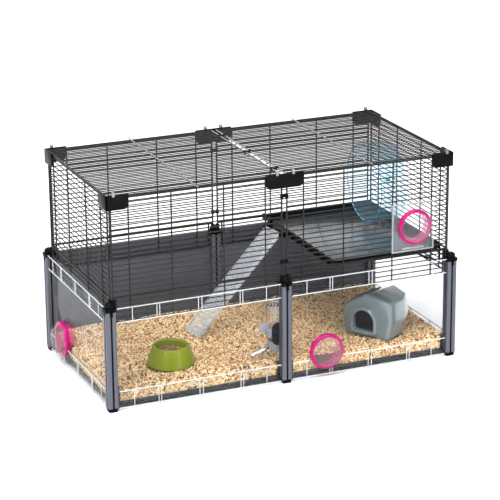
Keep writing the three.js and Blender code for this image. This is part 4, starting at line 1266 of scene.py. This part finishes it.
def make_plate_edges():
    """A raised edge round the port plate and a bar along its foot."""
    side = SIDES["front_right"]
    lo, hi = extent("port_plate")
    left, right = side.u(lo), side.u(hi)
    face = max(side.v(lo), side.v(hi))
    rim = 2.4 * MM
    buried, proud = face - 0.2 * MM, face + 2.4 * MM
    at = side.matrix(0, 0, 0)
    trim = Shape()
    for start, stop, low, high in (
        (left, left + rim, lo.z, hi.z), (right - rim, right, lo.z, hi.z),
        (left + rim, right - rim, hi.z - rim, hi.z), (left + rim, right - rim, lo.z, lo.z + rim),
    ):
        trim.block((start, low, buried), (stop, high, proud), at)
    bar_inset = 22 * MM
    trim.block((left + bar_inset, lo.z + 5 * MM, buried), (right - bar_inset, lo.z + 8.5 * MM, proud), at)
    # The milky finish on these clear edges is painted highlight.
    trim.piece("port_plate_edge_highlights", "frame", RAMP_CLEAR, "clear_panel", bevel=0.4 * MM)


make_plate_edges()

# ---- Bowl ---------------------------------------------------------------------------------

BOWL_RIBS = 7
FOOD_BITS = 260


def make_bowl():
    lo, hi = extent("bowl")
    centre = (lo + hi) / 2
    at = above(centre, lo.z)
    bowl = Shape()
    bowl.turned(in_mm([
        (0, 0), (45, 0), (46.2, 0.8), (46.4, 2.4), (45.6, 6), (42.4, 16), (38.6, 27), (36.4, 33),
        (35.2, 36.2), (33.6, 37.8), (31.6, 38), (30, 37), (29.2, 34.5), (28.4, 28), (27.2, 20), (25.4, 14),
        (21.5, 10.6), (0, 10),
    ]), at, 96)
    for side in (0, 180):
        for i in range(BOWL_RIBS):
            height = (9 + i * 3.6) * MM
            radius = 45.4 * MM - height * 0.33
            around = arc((0, 0), radius, side - 55, side - 12, 10)
            bowl.wire([at @ Vector((x, y, height)) for x, y in around], 0.9 * MM, 8)
    bowl.piece("bowl_look", "bowl", LIME, "lime_plastic", "bowl", sharp=50)
    food = Shape()
    dice = random.Random(5)
    food.turned(in_mm([(0, 10.4), (21, 11), (27, 21), (27, 25), (14, 29), (0, 30)]), at, 32)
    for _ in range(FOOD_BITS):
        angle, reach = dice.uniform(0, math.tau), 26 * MM * math.sqrt(dice.random())
        heap = 30 * MM - 5 * MM * (reach / (27 * MM)) ** 2
        height = heap + dice.uniform(-1, 1.5) * MM
        aside = reach * 0.9
        chip(food, dice, at @ Vector((aside * math.cos(angle), aside * math.sin(angle), height)))
    food.piece("bowl_food", "bowl", FOOD, "wood_bedding", sharp=20)


make_bowl()

# ---- House --------------------------------------------------------------------------------

# Each point of the plan: distance back from the door wall, distance across it, roof height.
HOUSE_PLAN = [
    (0, 0, 79), (52, -2, 76), (90, 12, 73), (107, 52, 80),
    (93, 93, 68), (52, 109, 62), (0, 105, 60), (0, 54, 90),
]
HOUSE_CENTRE = 53.5
HOUSE_WAIST = 37
HOUSE_TURN = math.radians(33)
HOUSE_CORNER = (225.3, -168)
DOOR_ACROSS, DOOR_RADIUS, DOOR_SILL, DOOR_TOP = 56, 23, 15, 57


def house_ring(swell, heights, wall):
    """One level of the walls: the plan swelled about its middle and drawn in by the wall."""
    scale = swell * (1 - wall / HOUSE_CENTRE)
    ring = []
    for (back, across, _), height in zip(HOUSE_PLAN, heights):
        deep = wall if back == 0 else HOUSE_CENTRE + (back - HOUSE_CENTRE) * scale
        ring.append(Vector((deep, HOUSE_CENTRE + (across - HOUSE_CENTRE) * scale, height)) * MM)
    return ring


def house_block(name, wall, floor):
    """The solid outline of the house, drawn in by a wall's thickness, in its own frame."""
    block = Shape()
    roof = [point[2] - wall for point in HOUSE_PLAN]
    count = len(HOUSE_PLAN)
    levels = [(0.92, [floor] * count), (1.06, [HOUSE_WAIST] * count), (0.97, roof)]
    rings = [house_ring(swell, heights, wall) for swell, heights in levels]
    block.rings(rings, capped=False)
    block.faces.append(tuple(reversed(range(count))))
    last = (len(rings) - 1) * count
    ridge = last + count - 1
    block.faces.append((ridge, last, last + 1, last + 2, last + 3))
    block.faces.append((ridge, last + 3, last + 4, last + 5, last + 6))
    return blank(name, block, in_triangles=True)


def blank(name, shape, in_triangles=False):
    """A shape as a bare object, to be cut or to cut with. Faces that aren't flat need triangles."""
    mesh = bpy.data.meshes.new(name)
    mesh.from_pydata(shape.points, [], shape.faces)
    with edited(mesh) as work:
        if in_triangles:
            bmesh.ops.triangulate(work, faces=work.faces)
        bmesh.ops.recalc_face_normals(work, faces=work.faces)
    return linked(name, mesh)


def door_outline(grow, steps=14):
    """The arched doorway as (across, height), grown outwards."""
    radius = DOOR_RADIUS + grow
    spring = DOOR_TOP - DOOR_RADIUS
    corner = 6
    low = DOOR_SILL - grow
    points = arc((DOOR_ACROSS, spring), radius, 0, 180, steps)
    points += arc((DOOR_ACROSS - radius + corner, low + corner), corner, 180, 270, 4)
    points += arc((DOOR_ACROSS + radius - corner, low + corner), corner, 270, 360, 4)
    return [Vector((across, height)) * MM for across, height in points]


def carve(piece, tool):
    """Cuts one object out of another and removes the tool."""
    cutter = piece.modifiers.new("carve", "BOOLEAN")
    cutter.operation = "DIFFERENCE"
    cutter.solver = "EXACT"
    cutter.object = tool
    apply_modifiers(piece)
    bpy.data.objects.remove(tool)


def door_tool():
    """The doorway as a solid, to cut from the house."""
    opening = Shape()
    opening.rings([[Vector((depth * MM, p.x, p.y)) for p in door_outline(0)] for depth in (-10, 14)])
    return blank("door", opening)


def settle_house(name, made, at, material, node=None):
    """Moves a finished blank to the house's place and makes a piece of it."""
    mesh = made.data
    mesh.transform(at)
    bpy.data.objects.remove(made)
    finished(name, mesh, "house", material, node, sharp=28)


def make_house():
    stand = above(from_home(*HOUSE_CORNER, 0), box("house")[0].z)
    at = stand @ Matrix.Rotation(HOUSE_TURN, 4, "Z")
    body = house_block("house_shell", 0, 0)
    soften(body, 5 * MM, 5)
    carve(body, house_block("house_hollow", 3.5, -4))
    carve(body, door_tool())
    settle_house("house_look", body, at, SAGE, "house")
    # A near-black shell with a floor just inside the walls: painted shade inside the house.
    inner_shade = house_block("house_inner_shade", 3.8, 0.5)
    carve(inner_shade, house_block("house_hollow", 4.8, 1.6))
    carve(inner_shade, door_tool())
    settle_house("house_inner_shade_look", inner_shade, at, HOUSE_PAINTED_SHADE)
    collar = Shape()
    section = [(0.2, 5), (0.2, -6.8), (1.6, -8), (5.2, -8), (6.8, -6.8), (7.4, 5)]
    edges = [(door_outline(grow), depth) for grow, depth in section]
    count = len(edges[0][0])
    rings = [[at @ Vector((depth * MM, edge[i].x, edge[i].y)) for edge, depth in edges] for i in range(count)]
    collar.rings(rings, closed=True)
    collar.piece("house_door_collar", "house", SAGE, "sage_plastic")


make_house()

# ---- Drip bottle --------------------------------------------------------------------------

BOTTLE_CAP_RIBS = 28


def make_bottle():
    centre = middle("bottle")
    at = above(centre)
    bottle = Shape()
    bottle.turned(in_mm([
        (0, 156), (9, 155.7), (13.6, 154.4), (16.6, 152), (18, 149.4), (18.9, 147.6), (18.9, 144.6),
        (18, 143.8), (18, 142.2), (19, 141.2), (19, 84), (18, 80), (12, 76), (12, 66), (10.5, 66),
        (10.5, 77), (16.6, 81.4), (17.6, 85), (17.6, 148), (15.6, 151), (12.6, 153), (8.6, 154.2),
        (0, 154.5),
    ]), at, 64)
    bottle.piece("bottle_look", "bottle", BOTTLE_CLEAR, "clear_bottle", "bottle", sharp=32)
    # A milky rod down the middle of the bottle: painted highlight.
    highlight_rod = Shape()
    highlight_rod.turned(in_mm([(0, 78), (2.2, 78), (2.2, 145), (0, 146)]), at, 20)
    highlight_rod.piece("bottle_highlight_rod", "bottle", RAMP_CLEAR, "clear_bottle")
    cap = Shape()
    cap.turned(in_mm([
        (0, 56), (11, 56), (14.4, 57.8), (15.6, 60.6), (15.6, 74.4), (15, 75), (12.5, 75), (12.5, 65.6),
        (0, 65.6),
    ]), at, 64)
    for turned in turns(at, BOTTLE_CAP_RIBS):
        cap.block((15 * MM, -0.6 * MM, 61.5 * MM), (16 * MM, 0.6 * MM, 73.5 * MM), turned)
    cap.piece("bottle_cap_look", "bottle", HOLDER_CLEAR, "holder_plastic", "bottle_cap", sharp=32)
    lo, hi = extent("bottle_spout")
    radius = 4 * MM
    near = Vector((hi.x - 1 * MM, (lo.y + hi.y) / 2 + 1.6 * MM, hi.z - radius))
    far = Vector((lo.x + 1.2 * MM, (lo.y + hi.y) / 2 - 1.6 * MM, lo.z + radius))
    spout = Shape()
    spout.wire([near.lerp(far, t) for t in (0, 0.33, 0.66, 1)], radius * 0.97, 24)
    spout.piece("bottle_spout_look", "bottle", STEEL, "spout_steel", "bottle_spout", 0.8 * MM, 3)


def make_holder():
    centre = middle("bottle")
    at = above(centre)
    holder = Shape()
    band = arc((0, 0), 22.5 * MM, 176, 364, 40) + arc((0, 0), 19.6 * MM, 364, 176, 40)
    holder.prism(band, 88 * MM, 104 * MM, at)
    tab = [(-37, 101), (-34, 97), (-21, 97), (-21, 116), (-30, 116), (-37, 109)]
    sheet = upright_frame((1, 0, 0), (0, -1, 0), Vector((centre.x, centre.y, 0)))
    holder.prism(in_mm(tab), 3.2 * MM, 6 * MM, sheet)
    turned_sheet = sheet @ Matrix.Rotation(-math.pi / 2, 4, "X")
    holder.block((-6 * MM, 21.6 * MM, 90 * MM), (6 * MM, 22.4 * MM, 102 * MM), turned_sheet)
    holder.piece("bottle_holder_look", "frame", HOLDER_CLEAR, "holder_plastic", "bottle_holder", 0.6 * MM)
    badge = Shape()
    outline = in_mm(arc((-5, 86), 13, 180, 360, 18) + arc((-5, 106), 13, 0, 180, 18))
    front = centre.y - extent("bottle_holder")[0].y
    badge.prism(outline, front - 3.4 * MM, front - 0.5 * MM, sheet)
    badge.piece("bottle_badge", "frame", BLACK, "black_plastic", bevel=0.9 * MM, segments=3)


make_bottle()
make_holder()

# ---- Stage, light and camera --------------------------------------------------------------


def make_stage():
    floor = bpy.data.meshes.new("floor")
    reach = 40  # metres
    square = [(-reach, -reach, 0), (reach, -reach, 0), (reach, reach, 0), (-reach, reach, 0)]
    floor.from_pydata(square, [], [(0, 1, 2, 3)])
    stage = linked("floor", floor)
    ground = Shader("floor_paper")
    ground.mottle(linear("e6e6e6"), 0.004, 3.0)
    ground.set(Roughness=0.95)
    floor.materials.append(ground.material)


def add_light(name, place, size, power):
    """A soft white lamp that points at the cage."""
    data = bpy.data.lights.new(name, "AREA")
    data.shape = "RECTANGLE"
    data.size, data.size_y = size
    data.energy = power
    lamp = linked(name, data)
    lamp.location = place
    lamp.rotation_euler = (Vector((0, 0, 0.2)) - Vector(place)).to_track_quat("-Z", "Y").to_euler()


def make_light():
    world = bpy.data.worlds.new("studio")
    world.use_nodes = True
    background = world.node_tree.nodes["Background"]
    background.inputs["Color"].default_value = (1, 1, 1, 1)
    background.inputs["Strength"].default_value = 0.62
    bpy.context.scene.world = world
    data = bpy.data.lights.new("wide_fill", "SUN")
    data.energy = 3.4
    data.angle = math.radians(60)
    linked("wide_fill", data).rotation_euler = (math.radians(20), math.radians(-14), 0)
    add_light("top", (-0.3, -0.4, 3.0), (3.2, 2.6), 52)
    add_light("left", (-2.4, -1.8, 1.8), (0.8, 1.8), 42)
    add_light("front_strip", (1.1, -2.8, 1.2), (0.25, 1.6), 16)
    add_light("back", (0.4, 2.8, 1.8), (2.6, 1.4), 9)
    add_light("low_strip", (0.3, -2.4, 0.3), (0.12, 0.55), 5)


def make_camera():
    """A long lens, a little above the cage and to the left of its front."""
    azimuth, elevation, roll = (math.radians(a) for a in (-23.034, 18.425, -0.506))
    target = Vector((0.010522, 0.0075, 0.212841))
    distance = 4.20595
    level = math.cos(elevation)
    back = Vector((math.sin(azimuth) * level, -math.cos(azimuth) * level, math.sin(elevation)))
    right = Vector((math.cos(azimuth), math.sin(azimuth), 0))
    up = back.cross(right)
    tilted_right = math.cos(roll) * right + math.sin(roll) * up
    tilted_up = -math.sin(roll) * right + math.cos(roll) * up
    data = bpy.data.cameras.new("camera")
    data.lens = 154.45
    data.sensor_width = 36
    camera = linked("camera", data)
    turn = Matrix((tilted_right, tilted_up, back)).transposed().to_4x4()
    camera.matrix_world = Matrix.Translation(target + back * distance) @ turn
    bpy.context.scene.camera = camera


make_stage()
make_light()
make_camera()
bpy.context.scene.view_settings.view_transform = "Standard"
